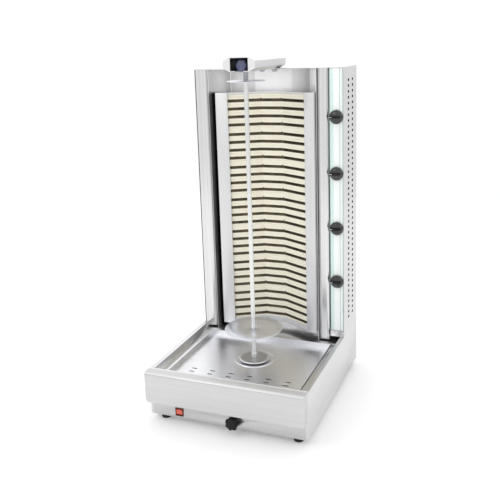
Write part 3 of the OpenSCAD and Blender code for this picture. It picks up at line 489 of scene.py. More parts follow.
def make_finishes(context):
    """Makes every material once, from the user's colours."""
    metal, heat, control = context.scene.grill_steel, context.scene.grill_heater, context.scene.grill_controls
    tint, bright, polish = tuple(metal.tint), tuple(metal.liner_tint), tuple(metal.polish_tint)
    brushed = metal.brushed_roughness
    # The across copy is painted a little darker and the along copy a little lighter than the upright one:
    # painted shade and painted light for how each face is lit.
    finish["sheet_x"] = steel("Brushed steel across painted darker", shaded(tint, 0.95), brushed, ALONG_X)
    finish["sheet_y"] = steel("Brushed steel along painted lighter", shaded(tint, 1.04), brushed, ALONG_Y)
    finish["sheet_z"] = steel("Brushed steel upright", tint, brushed, ALONG_Z)
    # The plinth's steel is painted darker: painted shade under the drawer's overhang.
    finish["plinth"] = steel("Brushed plinth steel in painted shade", shaded(tint, 0.86), brushed, ALONG_X)
    # Near black painted shade for the hidden sides of sheets and the walls of their holes.
    finish["unlit"] = moulded("Painted shade inside the sheet", (0.03, 0.03, 0.03), 0.8, gloss=0.1)
    # The column's deeper streaks are partly brushed grain and partly painted reflection bands.
    finish["column"] = steel(
        "Polished column", shaded(bright, 0.94), 0.17, ALONG_Z, scatter=0.06, streaks=0.84
    )
    finish["arm"] = steel("Satin arm steel", shaded(bright, 0.97), 0.45, ALONG_Y)
    # The rail and the drawer's lip use the bright steel, painted lighter than the sheet around them: painted
    # light on faces that look up.
    finish["rail"] = steel("Satin rail steel painted lighter", shaded(bright, 1.14), 0.62, ALONG_X)
    finish["lip"] = steel("Satin lip steel painted lighter", shaded(bright, 0.90), 0.5, ALONG_X)
    finish["shade"] = moulded("Shaded inside of the arm", (0.30, 0.31, 0.33), 0.7, gloss=0.2)
    finish["liner"] = liner_with_painted_light_and_shade("Bright liner", bright, 0.45)
    finish["strip"] = steel("Satin strip", shaded(bright, 0.88), 0.42, ALONG_Z)
    finish["tray"] = steel(
        "Polished tray", tuple(metal.tray_tint), metal.tray_roughness, ALONG_X, scatter=0.05, wave=0.00012
    )
    finish["polished"] = turned_steel("Polished steel", polish, 0.08)
    finish["satin_round"] = turned_steel("Satin round steel", polish, 0.24)
    cooler = tinged(polish, (1.0, 1.01, 1.09))
    finish["satin_plate"] = turned_steel("Satin plate", cooler, 0.28, smears=0.02, depth=0.000001)
    finish["zinc"] = turned_steel("Zinc plated steel", (0.58, 0.59, 0.61), 0.32)
    finish["burnished"] = turned_steel("Burnished pin", (0.40, 0.41, 0.44), 0.10)
    finish["plastic"] = moulded(
        "Black gloss plastic", tuple(control.plastic), 0.30, coat=1.0, gloss=0.15, coat_ior=1.62
    )
    finish["dull_plastic"] = moulded("Black satin plastic", tuple(control.plastic), 0.42, gloss=0.2)
    finish["clamp"] = moulded("Blue black plastic", tuple(control.clamp), 0.3, coat=0.3)
    finish["rubber"] = moulded("Black rubber", (0.018, 0.018, 0.018), 0.7, grit=0.00006)
    finish["ivory"] = moulded("Ivory plastic", (0.80, 0.76, 0.64), 0.4)
    finish["cast"] = moulded("Painted casting", (0.09, 0.10, 0.11), 0.45, grit=0.0001, scale=900.0)
    finish["white_mark"] = moulded("White mark", (0.85, 0.85, 0.84), 0.5)
    finish["board"] = ceramic("Fibre board", (0.84, 0.81, 0.72))
    finish["ceramic"] = ceramic("Heater ceramic", tuple(heat.ceramic))
    finish["scorched"] = scorched("Scorched groove", tuple(heat.scorch))
    # The right column's grooves and wire are painted darker: painted shade on the right facet.
    finish["scorched_painted_shade"] = scorched("Scorched groove in painted shade", shaded(heat.scorch, 0.6))
    finish["wire"] = wound_wire("Oxidised wire", tuple(heat.wire))
    finish["wire_painted_shade"] = wound_wire("Oxidised wire in painted shade", shaded(heat.wire, 0.5))
    glass_low, glass_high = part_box("glass_fascia")
    finish["glass"] = backed_glass("Green edged glass", tuple(control.glass), glass_low.x, glass_high.x)
    finish["lens"] = switch_lens("Red switch", tuple(control.lens))
    finish["switch_frame"] = moulded("Dark red frame", shaded(control.lens, 0.16), 0.35, gloss=0.3)


# ---- mesh helpers ----


def lathe(profile, centre, axis=Z_AXIS, steps=64):
    """Turns an outline of (radius, distance along the axis) points into a closed round body."""
    bm = bmesh.new()
    side = Vector((1, 0, 0)) if abs(axis.x) < 0.5 else Vector((0, 1, 0))
    ring = [bm.verts.new(centre + side * radius + axis * along) for radius, along in profile]
    edges = [bm.edges.new(pair) for pair in zip(ring, ring[1:])]
    bmesh.ops.spin(
        bm, geom=ring + edges, cent=centre, axis=axis, angle=2 * math.pi, steps=steps, use_merge=True,
        dvec=(0, 0, 0),
    )
    close_up(bm)
    return bm


def close_up(bm):
    """Merges doubles, closes open ends and turns the faces outwards."""
    bmesh.ops.remove_doubles(bm, verts=bm.verts, dist=1e-6)
    holes = [edge for edge in bm.edges if edge.is_boundary]
    if holes:
        bmesh.ops.holes_fill(bm, edges=holes, sides=0)
    bmesh.ops.recalc_face_normals(bm, faces=bm.faces)


def block(low, high, ease=0.0, segments=2):
    """A box between two corners with eased edges."""
    bm = bmesh.new()
    low, high = Vector(low), Vector(high)
    bmesh.ops.create_cube(bm, size=1.0)
    bmesh.ops.scale(bm, vec=high - low, verts=bm.verts)
    bmesh.ops.translate(bm, vec=(low + high) / 2, verts=bm.verts)
    if ease:
        bevel(bm, bm.edges[:], ease, segments)
    return bm


def bevel(bm, edges, width, segments):
    """Rounds edges."""
    bmesh.ops.bevel(
        bm, geom=edges, offset=width, offset_type="OFFSET", segments=segments, profile=0.5, affect="EDGES",
        clamp_overlap=True, material=-1,
    )


def join(bm, other):
    """Adds another bmesh to this one and frees it."""
    mesh = bpy.data.meshes.new("joining")
    other.to_mesh(mesh)
    other.free()
    bm.from_mesh(mesh)
    bpy.data.meshes.remove(mesh)
    return bm


def finished(name, bm, body, slot, material, replaces=(), sharp=38.0, more=()):
    """Makes the piece, gives it its materials, and lets it ride on its body."""
    mesh = bpy.data.meshes.new(name)
    bm.to_mesh(mesh)
    bm.free()
    mesh.shade_smooth()
    mesh.set_sharp_from_angle(angle=math.radians(sharp))
    piece = bpy.data.objects.new(name, mesh)
    bpy.context.scene.collection.objects.link(piece)
    for given in (material, *more):
        mesh.materials.append(finish[given])
    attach(piece, body)
    if replaces:
        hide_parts(*replaces)
    return piece


def in_place_of(node, bm, material, name=None, **options):
    """A finished piece that stands for one frame node, on the same body."""
    title = name or node + "_finished"
    return finished(title, bm, node_body[node], node_slot[node], material, replaces=(node,), **options)


def refinish(material, *nodes):
    """Gives frame nodes a better material."""
    for name in nodes:
        mesh = frame["nodes"][name].data
        mesh.materials.clear()
        mesh.materials.append(finish[material])


def face_depth(face, edge):
    """How far a face reaches from one of its edges."""
    start = edge.verts[0].co
    along = (edge.verts[1].co - start).normalized()
    away = face.normal.cross(along)
    return max(abs((vert.co - start).dot(away)) for vert in face.verts)


def turned_edges(bm, least_angle, least_depth=0.0):
    """Outward edges that turn by an angle between faces of some depth."""
    return [
        edge for edge in bm.edges
        if len(edge.link_faces) == 2 and edge.calc_face_angle_signed(0.0) > least_angle
        and min(face_depth(face, edge) for face in edge.link_faces) > least_depth
    ]


def plain_copy(node):
    """A copy of a frame node's mesh with its flat faces whole again."""
    bm = bmesh.new()
    bm.from_mesh(frame["nodes"][node].data)
    bmesh.ops.remove_doubles(bm, verts=bm.verts, dist=1e-5)
    bmesh.ops.dissolve_limit(
        bm, angle_limit=math.radians(1.0), verts=bm.verts, edges=bm.edges, delimit={"NORMAL"}
    )
    bm.normal_update()
    return bm


def folded(node, material, fold, ease, **options):
    """A sheet node with round folds and deburred edges, in place of the sharp one."""
    bm = plain_copy(node)
    if fold:
        bevel(bm, turned_edges(bm, math.radians(30), 4 * fold), fold, 3)
        bm.normal_update()
    if ease:
        bevel(bm, turned_edges(bm, math.radians(50), 2.2 * ease), ease, 2)
    return in_place_of(node, bm, material, **options)


def two_sided(node, material, is_inside, inside="unlit"):
    """A sheet whose hidden side gets near black painted shade, so that its openings look dark."""
    bm = plain_copy(node)
    for face in bm.faces:
        if is_inside(face.normal, face.calc_center_median()):
            face.material_index = 1
    return in_place_of(node, bm, material, more=(inside,))


def hidden_side(node, outward):
    """Tells the faces on a flat sheet's hidden side, and the walls of its holes, from the others."""
    low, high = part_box(node)
    rim = 5 * MM

    def test(normal, centre):
        if abs(normal.dot(outward)) > 0.5:
            return normal.dot(outward) < 0
        return all(low[i] + rim < centre[i] < high[i] - rim for i in range(3) if abs(outward[i]) < 0.5)

    return test


def middle_of(node, **fixed):
    """The middle of a node's box, with its x, y or z given instead where named."""
    point = Vector([(low + high) / 2 for low, high in zip(*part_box(node))])
    for axis, value in fixed.items():
        setattr(point, axis, value)
    return point


def upright(node):
    """A round upright node's middle at its foot, its radius and its height."""
    low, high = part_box(node)
    return middle_of(node, z=low.z), (high.x - low.x) / 2, high.z - low.z


def shaft_hole():
    """Radius of a hole that the spit's shaft passes through."""
    return upright("spit_shaft")[1] + 0.1 * MM


# ---- operators ----


class GRILL_OT_stage(bpy.types.Operator):
    """Adds the floor, the soft light and the camera"""

    bl_idname = "grill.stage"
    bl_label = "Stage"

    def execute(self, context):
        props = context.scene.grill_stage
        self.add_floor(props)
        self.add_light(context)
        self.add_camera(context, props)
        context.scene.view_settings.view_transform = "Standard"
        return {"FINISHED"}

    def add_floor(self, props):
        bm = bmesh.new()
        bmesh.ops.create_grid(bm, x_segments=1, y_segments=1, size=3.0)
        mesh = bpy.data.meshes.new("floor")
        bm.to_mesh(mesh)
        bm.free()
        floor = bpy.data.objects.new("floor", mesh)
        bpy.context.scene.collection.objects.link(floor)
        made, tree, shader, place = start_material("Pale floor")
        tone = effect(tree, "speckle", place, 3.0)[1]
        pale = tuple(props.floor_colour)
        set_inputs(
            tree, shader, Base_Color=mixed(tree, tone, pale, shaded(pale, 0.99)), Roughness=0.9,
            Emission_Color=(1.0, 1.0, 1.0), Emission_Strength=props.floor_glow,
        )
        mesh.materials.append(made)

    def add_light(self, context):
        """A white room with walls of different greys for the steel to mirror, and three soft lamps."""
        world = bpy.data.worlds.new("Soft room")
        context.scene.world = world
        world.use_nodes = True
        tree = world.node_tree
        ray = add_node(tree, "ShaderNodeTexCoord").outputs["Generated"]
        parts = add_node(tree, "ShaderNodeSeparateXYZ", {0: ray})
        ahead = combined(tree, "MULTIPLY", parts.outputs["Y"], -1.0)
        round_about = combined(tree, "ARCTAN2", parts.outputs["X"], ahead)
        walls = (
            (-180, 1.0), (-140, 0.9), (-100, 1.0), (-62, 0.70), (-35, 0.95), (-8, 0.92), (15, 1.0),
            (55, 0.66), (85, 0.95), (110, 0.70), (140, 0.92), (180, 1.0),
        )
        wall = colour_bands(
            tree, spread(tree, round_about, 0.0, 1.0, -math.pi, math.pi),
            [((turn + 180) / 360, (grey, grey, grey)) for turn, grey in walls],
        )
        height = spread(tree, parts.outputs["Z"], 0.0, 1.0, 0.35, 0.85)
        room = mixed(tree, height, wall, (1.0, 1.0, 1.0))
        seen = add_node(tree, "ShaderNodeLightPath").outputs["Is Camera Ray"]
        tree.links.new(mixed(tree, seen, room, (1.02, 1.02, 1.02)), tree.nodes["Background"].inputs["Color"])
        for name, place, aim, size, power in (
            ("key", (-1.6, -2.2, 2.8), (0.0, 0.0, 0.5), 1.8, 16.0),
            ("fill", (2.4, -1.0, 1.8), (0.0, 0.1, 0.5), 1.6, 5.0),
            ("back", (-0.6, 2.6, 2.4), (0.0, 0.2, 0.7), 2.0, 8.0),
        ):
            light = bpy.data.lights.new(name, "AREA")
            light.shape = "SQUARE"
            light.size = size
            light.energy = power
            lamp = bpy.data.objects.new(name, light)
            lamp.location = place
            lamp.rotation_euler = (Vector(aim) - Vector(place)).to_track_quat("-Z", "Y").to_euler()
            context.scene.collection.objects.link(lamp)

    def add_camera(self, context, props):
        data = bpy.data.cameras.new("camera")
        data.lens = props.lens
        data.sensor_width = 36.0
        data.shift_y = props.drop
        camera = bpy.data.objects.new("camera", data)
        ahead = Vector((
            -math.sin(props.yaw) * math.cos(props.pitch),
            math.cos(props.yaw) * math.cos(props.pitch),
            -math.sin(props.pitch),
        ))
        level = Vector((math.cos(props.yaw), math.sin(props.yaw), 0))
        upward = level.cross(ahead)
        right = level * math.cos(props.roll) + upward * math.sin(props.roll)
        above = upward * math.cos(props.roll) - level * math.sin(props.roll)
        turn = Matrix((right, above, -ahead)).transposed()
        camera.matrix_world = Matrix.Translation(Vector(props.place)) @ turn.to_4x4()
        context.scene.collection.objects.link(camera)
        context.scene.camera = camera


class GRILL_OT_base(bpy.types.Operator):
    """Rounds the folded sheets of the base, the tray surround and the plinth"""

    bl_idname = "grill.base"
    bl_label = "Base"

    def execute(self, context):
        props = context.scene.grill_steel
        fold, ease = props.fold_radius, props.edge_ease
        for side in ("left", "right"):
            folded("base_side_" + side, "sheet_y", fold, ease)
        folded("front_rail", "rail", fold, ease)
        folded("rear_deck", "sheet_x", fold, ease)
        folded("base_rear", "sheet_x", 0.0, ease)
        folded("plinth_front", "plinth", 0.0, ease)
        refinish("sheet_x", "base_floor")
        refinish("tray", "drip_tray")
        return {"FINISHED"}


class GRILL_OT_drawer(bpy.types.Operator):
    """Makes the hollow drawer front with its rolled edges, and the grease pan"""

    bl_idname = "grill.drawer"
    bl_label = "Grease drawer"

    def execute(self, context):
        props = context.scene.grill_steel
        low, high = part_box("drawer_front")
        wall = 1.5 * MM
        bm = block(low, high)
        middle = (low.z + high.z) / 2
        corner = [
            edge for edge in bm.edges
            if abs(edge.verts[0].co.y - edge.verts[1].co.y) > wall and edge.verts[0].co.z < middle
        ]
        bevel(bm, corner, 1.15 * props.lip_radius, 5)
        front = [edge for edge in bm.edges if all(vert.co.y < low.y + wall for vert in edge.verts)]
        lip = [edge for edge in front if all(vert.co.z > high.z - wall for vert in edge.verts)]
        bevel(bm, lip, props.lip_radius, 6)
        still_sharp = math.radians(60)
        front = [
            edge for edge in bm.edges
            if all(vert.co.y < high.y - wall for vert in edge.verts)
            and edge.calc_face_angle(0.0) > still_sharp
        ]
        bevel(bm, front, props.corner_radius, 4)
        back = [face for face in bm.faces if all(vert.co.y > high.y - wall for vert in face.verts)]
        bmesh.ops.delete(bm, geom=back, context="FACES")
        bmesh.ops.recalc_face_normals(bm, faces=bm.faces)
        bmesh.ops.solidify(bm, geom=bm.faces[:], thickness=wall)
        bm.normal_update()
        # Upward faces of the rolled lip get the lip steel, painted lighter as painted light.
        for face in bm.faces:
            if face.normal.z > 0.6 and face.calc_center_median().z > middle:
                face.material_index = 1
        in_place_of("drawer_front", bm, "sheet_x", sharp=30.0, more=("lip",))
        folded("grease_pan", "tray", 0.0, 0.3 * MM)
        folded("drawer_runners", "sheet_y", 0.0, props.edge_ease)
        return {"FINISHED"}


class GRILL_OT_feet(bpy.types.Operator):
    """Makes the four rubber feet, each with a flared sole and a groove"""

    bl_idname = "grill.feet"
    bl_label = "Feet"

    def execute(self, context):
        low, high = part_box("foot_pads")
        radius = 15 * MM
        top = high.z
        outline = [
            (0.0, 0.0), (radius - 2 * MM, 0.0), (radius, 1.5 * MM), (radius, 5 * MM),
            (radius - 2 * MM, 6 * MM), (radius - 2 * MM, 8 * MM), (radius - 1 * MM, 9 * MM),
            (radius - 2.5 * MM, top - 1 * MM), (radius - 3.5 * MM, top), (0.0, top),
        ]
        bm = bmesh.new()
        for x in (low.x + radius, high.x - radius):
            for y in (low.y + radius, high.y - radius):
                join(bm, lathe(outline, Vector((x, y, 0.0)), steps=40))
        in_place_of("foot_pads", bm, "rubber")
        refinish("zinc", "foot_studs", "foot_nuts")
        return {"FINISHED"}


class GRILL_OT_spit(bpy.types.Operator):
    """Makes the turning flange, socket, shaft, meat plate and upper disc"""

    bl_idname = "grill.spit"
    bl_label = "Spit"

    def execute(self, context):
        self.add_flange()
        self.add_socket()
        self.add_shaft()
        self.add_plates()
        return {"FINISHED"}

    def add_flange(self):
        """A shallow disc with a raised bright rim, whose dished top is painted darker in zinc steel as
        painted shade.
        """
        centre, radius, tall = upright("drive_flange")
        groove = radius - 9 * MM
        outline = [
            (0.0, 0.0), (radius - 4 * MM, 0.0), (radius - 0.8 * MM, 0.9 * MM), (radius, 2.3 * MM),
            (radius - 0.6 * MM, tall - 1.2 * MM), (radius - 2 * MM, tall - 0.3 * MM), (radius - 4 * MM, tall),
            (radius - 6 * MM, tall - 0.4 * MM), (groove, tall - 1.8 * MM), (groove - 2 * MM, tall - 2.2 * MM),
            (0.0, tall - 2.2 * MM),
        ]
        bm = lathe(outline, centre, steps=96)
        # The dish inside the rim gets the darker zinc steel: painted shade.
        for face in bm.faces:
            away = face.calc_center_median() - centre
            if away.z > tall / 3 and math.hypot(away.x, away.y) < groove:
                face.material_index = 1
        in_place_of("drive_flange", bm, "arm", more=("zinc",))

    def add_socket(self):
        """A collar round the shaft on four prongs."""
        centre, radius, tall = upright("spit_socket")
        inner, collar_z, prong_half, prong_top = shaft_hole(), 5 * MM, 2.2 * MM, 9 * MM
        outline = [
            (inner, collar_z), (radius - 1.5 * MM, collar_z), (radius - 1.5 * MM, tall - 8 * MM),
            (radius, tall - 7 * MM), (radius, tall - 4 * MM), (radius - 1.2 * MM, tall - 2.6 * MM),
            (radius - 1.6 * MM, tall - 0.6 * MM), (radius - 2.4 * MM, tall), (inner, tall),
            (inner, collar_z),
        ]
        bm = lathe(outline, centre, steps=48)
        for quarter in range(4):
            prong = block((inner, -prong_half, 0.0), (radius, prong_half, prong_top), 0.6 * MM)
            turn = Matrix.Rotation(math.pi / 4 + quarter * math.pi / 2, 3, "Z")
            bmesh.ops.rotate(prong, verts=prong.verts, cent=(0, 0, 0), matrix=turn)
            bmesh.ops.translate(prong, verts=prong.verts, vec=centre)
            join(bm, prong)
        in_place_of("spit_socket", bm, "satin_round")

    def add_shaft(self):
        """A round bar with a hole in its top end for the pin."""
        centre, radius, tall = upright("spit_shaft")
        bore, bore_deep = 4.05 * MM, 14 * MM
        outline = [
            (0.0, 0.0), (radius - 0.5 * MM, 0.0), (radius, 0.5 * MM), (radius, tall - 1.2 * MM),
            (radius - 1.2 * MM, tall), (bore + 0.4 * MM, tall), (bore, tall - 0.4 * MM),
            (bore, tall - bore_deep), (0.0, tall - bore_deep),
        ]
        in_place_of("spit_shaft", lathe(outline, centre, steps=40), "satin_round")

    def add_plates(self):
        """Two round plates with a hub underneath and a rounded rim."""
        inner = shaft_hole()
        for node, sheet, hub_wall in (("meat_plate", 3 * MM, 5 * MM), ("top_disc", 2 * MM, 3 * MM)):
            centre, radius, tall = upright(node)
            hub, edge = inner + hub_wall, sheet / 3
            outline = [
                (inner, 0.0), (hub - 0.6 * MM, 0.0), (hub, 0.6 * MM), (hub, tall - sheet - 0.8 * MM),
                (hub + 1.2 * MM, tall - sheet), (radius - edge, tall - sheet),
                (radius - 0.3 * edge, tall - 0.8 * sheet), (radius, tall - 0.5 * sheet),
                (radius - 0.3 * edge, tall - 0.2 * sheet), (radius - edge, tall),
                (inner + 0.5 * MM, tall), (inner, tall - 0.5 * MM), (inner, 0.0),
            ]
            in_place_of(node, lathe(outline, centre, steps=128), "satin_plate", sharp=50.0)


class GRILL_OT_drive(bpy.types.Operator):
    """Finishes the spit drive under the tray and makes the star knob"""

    bl_idname = "grill.drive"
    bl_label = "Spit drive"

    def execute(self, context):
        refinish("polished", "guide_rails", "distance_screw", "drive_spindle")
        refinish("sheet_x", "rail_brackets", "carriage_plate")
        refinish("cast", "gearbox", "gear_motor")
        self.add_star_knob(context.scene.grill_controls.lobe_count)
        return {"FINISHED"}

    def add_star_knob(self, lobes):
        low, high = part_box("distance_knob")
        radius, deep = (high.z - low.z) / 2, high.y - low.y
        bm = lobed_knob(middle_of("distance_knob", y=high.y), radius, deep, lobes, 0.14)
        in_place_of("distance_knob", bm, "dull_plastic", sharp=50.0)


def lobed_knob(centre, radius, deep, lobes, swell):
    """A moulded hand knob on an axis along Y: a lobed rim, a domed face and a neck behind."""
    bm = bmesh.new()
    steps = lobes * 16
    # each row is (share of the radius, share of the depth, share of the swell)
    profile = (
        (0.45, 0.0, 0.0), (0.50, 0.16, 0.2), (0.78, 0.24, 1.0), (0.94, 0.34, 1.0), (1.0, 0.50, 1.0),
        (0.98, 0.70, 1.0), (0.90, 0.84, 1.0), (0.72, 0.93, 0.8), (0.40, 0.98, 0.3), (0.12, 1.0, 0.0),
    )
    rings = []
    for across, along, depth in profile:
        ring = bmesh.ops.create_circle(bm, cap_ends=False, radius=radius * across, segments=steps)["verts"]
        for vert in ring:
            turn = math.atan2(vert.co.y, vert.co.x)
            vert.co *= 1 - swell * depth * (0.5 - 0.5 * math.cos(lobes * turn))
        bmesh.ops.rotate(bm, verts=ring, cent=(0, 0, 0), matrix=Matrix.Rotation(math.pi / 2, 3, "X"))
        bmesh.ops.translate(bm, verts=ring, vec=centre - Y_AXIS * deep * along)
        rings.append(list({edge for vert in ring for edge in vert.link_edges}))
    for first, second in zip(rings, rings[1:]):
        bmesh.ops.bridge_loops(bm, edges=first + second)
    close_up(bm)
    return bm


class GRILL_OT_top_arm(bpy.types.Operator):
    """Gives the folded arm a grey painted shade inside and makes the bearing pin, its block and the clamp
    knob
    """

    bl_idname = "grill.top_arm"
    bl_label = "Top arm"

    def execute(self, context):
        low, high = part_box("arm_channel")
        middle = (low.z + high.z) / 2
        two_sided(
            "arm_channel", "arm",
            lambda normal, centre: normal.x * centre.x + normal.z * (centre.z - middle) < -0.1 * MM,
            inside="shade",
        )
        folded("bearing_block", "dull_plastic", 0.0, 1.2 * MM)
        refinish("zinc", "arm_bolts")
        self.add_pin()
        low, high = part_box("clamp_knob")
        radius, deep, neck = (high.x - low.x) / 2, 20 * MM, 5 * MM
        centre = middle_of("clamp_knob", y=low.y + deep)
        bm = lobed_knob(centre, radius, deep, 6, 0.10)
        reach = high.y - centre.y
        join(bm, lathe([(0.0, 0.0), (neck, 0.0), (neck, reach), (0.0, reach)], centre, Y_AXIS, 32))
        in_place_of("clamp_knob", bm, "clamp", sharp=50.0)
        return {"FINISHED"}

    def add_pin(self):
        """A pin with a thinner nose and one groove."""
        centre, radius, tall = upright("bearing_pin")
        nose, nose_tall = 4 * MM, 12 * MM
        outline = [
            (0.0, 0.0), (nose - 1 * MM, 0.0), (nose, 1.5 * MM), (nose, nose_tall),
            (radius - 0.8 * MM, nose_tall), (radius, nose_tall + 0.8 * MM), (radius, nose_tall + 7 * MM),
            (radius - 0.7 * MM, nose_tall + 7.6 * MM), (radius - 0.7 * MM, nose_tall + 9 * MM),
            (radius, nose_tall + 9.6 * MM), (radius, tall - 1 * MM), (radius - 1 * MM, tall), (0.0, tall),
        ]
        in_place_of("bearing_pin", lathe(outline, centre, steps=40), "burnished")


class GRILL_OT_tower(bpy.types.Operator):
    """Eases the tower lid's edges, gives the other sheets painted shade on their hidden sides and adds hoods
    over the rear louvres
    """

    bl_idname = "grill.tower"
    bl_label = "Tower"

    def execute(self, context):
        props = context.scene.grill_steel
        folded("tower_lid", "sheet_x", 0.0, props.edge_ease)
        sheets = {"tower_side_left": -X_AXIS, "tower_side_right": X_AXIS, "tower_rear": Y_AXIS}
        for node, outward in sheets.items():
            # The hidden sides and hole walls of these sheets get the near black painted shade.
            two_sided(node, "sheet_z", hidden_side(node, outward))
        refinish("column", "column_left", "column_right")
        self.add_hoods()
        return {"FINISHED"}

    def add_hoods(self):
        """Each hood is a shallow pressed bulge, open along its lower edge."""
        rear_high, base_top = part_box("tower_rear")[1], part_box("base_rear")[1].z
        half_w, half_h, proud, wall = 57 * MM, 9 * MM, 5 * MM, 0.8 * MM
        side_x, first_z, pitch, plain = 130 * MM, 90 * MM, 60 * MM, 158 * MM
        rows = int((rear_high.z - base_top - plain) / pitch)
        bm = bmesh.new()
        for row in range(rows):
            slot_z = base_top + first_z + row * pitch
            for side in (-1, 1):
                hood = bmesh.new()
                bmesh.ops.create_uvsphere(hood, u_segments=24, v_segments=12, radius=1.0)
                bmesh.ops.scale(hood, verts=hood.verts, vec=(half_w, proud, half_h))
                centre = Vector((side * side_x, rear_high.y + 0.05 * MM, slot_z))
                bmesh.ops.translate(hood, verts=hood.verts, vec=centre)
                for normal in (-Y_AXIS, -Z_AXIS):
                    whole = hood.verts[:] + hood.edges[:] + hood.faces[:]
                    bmesh.ops.bisect_plane(
                        hood, geom=whole, plane_co=centre, plane_no=normal, clear_outer=True
                    )
                bmesh.ops.recalc_face_normals(hood, faces=hood.faces)
                bmesh.ops.solidify(hood, geom=hood.faces[:], thickness=wall)
                join(bm, hood)
        finished("rear_louvre_hoods", bm, "root", "brushed_steel", "sheet_z")


class GRILL_OT_heater_frame(bpy.types.Operator):
    """Finishes the liner, the side strips and the channels round the tiles"""

    bl_idname = "grill.heater_frame"
    bl_label = "Heater frame"

    def execute(self, context):
        ease = context.scene.grill_steel.edge_ease
        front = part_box("heat_liner")[0].y + 20 * MM

        def is_back(normal, centre):
            return centre.y > front and (normal.y > 0.5 or normal.x * centre.x > 0.5 * abs(centre.x))

        # The liner's back faces get the near black painted shade.
        two_sided("heat_liner", "liner", is_back)
        for side in ("left", "right"):
            folded("heater_strip_" + side, "strip", 1.2 * MM, ease)
        folded("heater_bottom_channel", "strip", 0.0, ease)
        folded("heater_top_channel", "strip", 0.0, ease)
        refinish("board", "insulation_board")
        return {"FINISHED"}


GROOVES = 4


def tile_rows(props):
    """Height of the tile columns' foot, the rise from tile to tile, and the tiles in a column."""
    low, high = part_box("ceramic_centre")
    pitch = props.tile_height + props.tile_gap
    return low.z, pitch, round((high.z - low.z) / pitch)


def groove_places(props):
    """Height of the top groove's middle above a tile's foot, and the drop from groove to groove."""
    drop = (props.tile_height - props.groove_first - props.groove_height) / (GROOVES - 1)
    return props.tile_height - props.groove_first, drop


def facet_lines():
    """The three front lines of the tile columns in plan, from left to right, with their nodes."""
    outer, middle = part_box("ceramic_left")[0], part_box("ceramic_centre")[0]
    front = Vector((outer.x, outer.y, 0.0))
    deep = Vector((middle.x, middle.y, 0.0))
    across = Vector((-1, 1, 1))
    return (
        ("left", front, deep),
        ("centre", deep, deep * across),
        ("right", deep * across, front * across),
    )


def on_facet(start, end, z):
    """The matrix that takes X along a tile column's front line and Y into the tiles."""
    along = (end - start).normalized()
    turn = Matrix.Rotation(math.atan2(along.y, along.x), 4, "Z")
    return Matrix.Translation(Vector((start.x, start.y, z))) @ turn


class GRILL_OT_tiles(bpy.types.Operator):
    """Makes the ribbed and grooved ceramic tiles, which run on a little behind their neighbours"""

    bl_idname = "grill.tiles"
    bl_label = "Ceramic tiles"
    run_on = 3.2 * MM
    scorch_from = 1.0 * MM

    def execute(self, context):
        props = context.scene.grill_heater
        foot, pitch, count = tile_rows(props)
        outline = self.tile_outline(props)
        for name, start, end in facet_lines():
            # The right column's grooves get the darker copy as painted shade.
            inside = "scorched_painted_shade" if name == "right" else "scorched"
            first = -self.run_on if name != "left" else 0.0
            last = self.run_on if name != "right" else 0.0
            column = bmesh.new()
            for index in range(count):
                tile = self.tile(outline, first, (end - start).length + last)
                self.scorch(tile, props)
                tile.transform(on_facet(start, end, foot + index * pitch))
                join(column, tile)
            in_place_of("ceramic_" + name, column, "ceramic", sharp=30.0, more=(inside,))
        return {"FINISHED"}

    def scorch(self, tile, props):
        """Gives the insides of the grooves their browned finish."""
        for face in tile.faces:
            depths = [vert.co.y for vert in face.verts]
            if max(depths) <= props.groove_depth + 0.1 * MM and min(depths) >= self.scorch_from:
                face.material_index = 1

    def tile_outline(self, props):
        """Front outline from the bottom up, as (depth, height) points: bands with fine lines, and grooves."""
        half, deep, fine = props.groove_height / 2, props.groove_depth, props.rib_depth
        corner, mouth = 1.5 * MM, self.scorch_from
        first, drop = groove_places(props)
        middles = [first - drop * groove for groove in reversed(range(GROOVES))]
        points = [(props.tile_thickness, 0.0)]
        band_low = 0.0
        for middle in [*middles, None]:
            band_high = props.tile_height if middle is None else middle - half
            points += self.band(band_low, band_high, fine)
            if middle is not None:
                points += [
                    (mouth, middle - half), (deep - corner, middle - half), (deep, middle - half + corner),
                    (deep, middle + half - corner), (deep - corner, middle + half), (mouth, middle + half),
                ]
                band_low = middle + half
        return [*points, (props.tile_thickness, props.tile_height)]

    def band(self, low, high, fine):
        """One raised band between two grooves, with a rounded edge and fine lines across it."""
        ease, line = 0.8 * MM, 1.0 * MM
        lines = max(1, int((high - low) / (6 * MM)))
        points = [(ease, low), (0.0, low + ease)]
        for index in range(1, lines):
            middle = low + (high - low) * index / lines
            points += [(0.0, middle - line), (fine, middle), (0.0, middle + line)]
        return [*points, (0.0, high - ease), (ease, high)]

    def tile(self, outline, first, last):
        """One tile: its outline drawn out along X from first to last."""
        bm = bmesh.new()
        verts = [bm.verts.new((first, depth, height)) for depth, height in outline]
        face = bm.faces.new(verts)
        grown = bmesh.ops.extrude_face_region(bm, geom=[face])["geom"]
        moved = [item for item in grown if isinstance(item, bmesh.types.BMVert)]
        bmesh.ops.translate(bm, verts=moved, vec=(last - first, 0, 0))
        bmesh.ops.recalc_face_normals(bm, faces=bm.faces)
        return bm


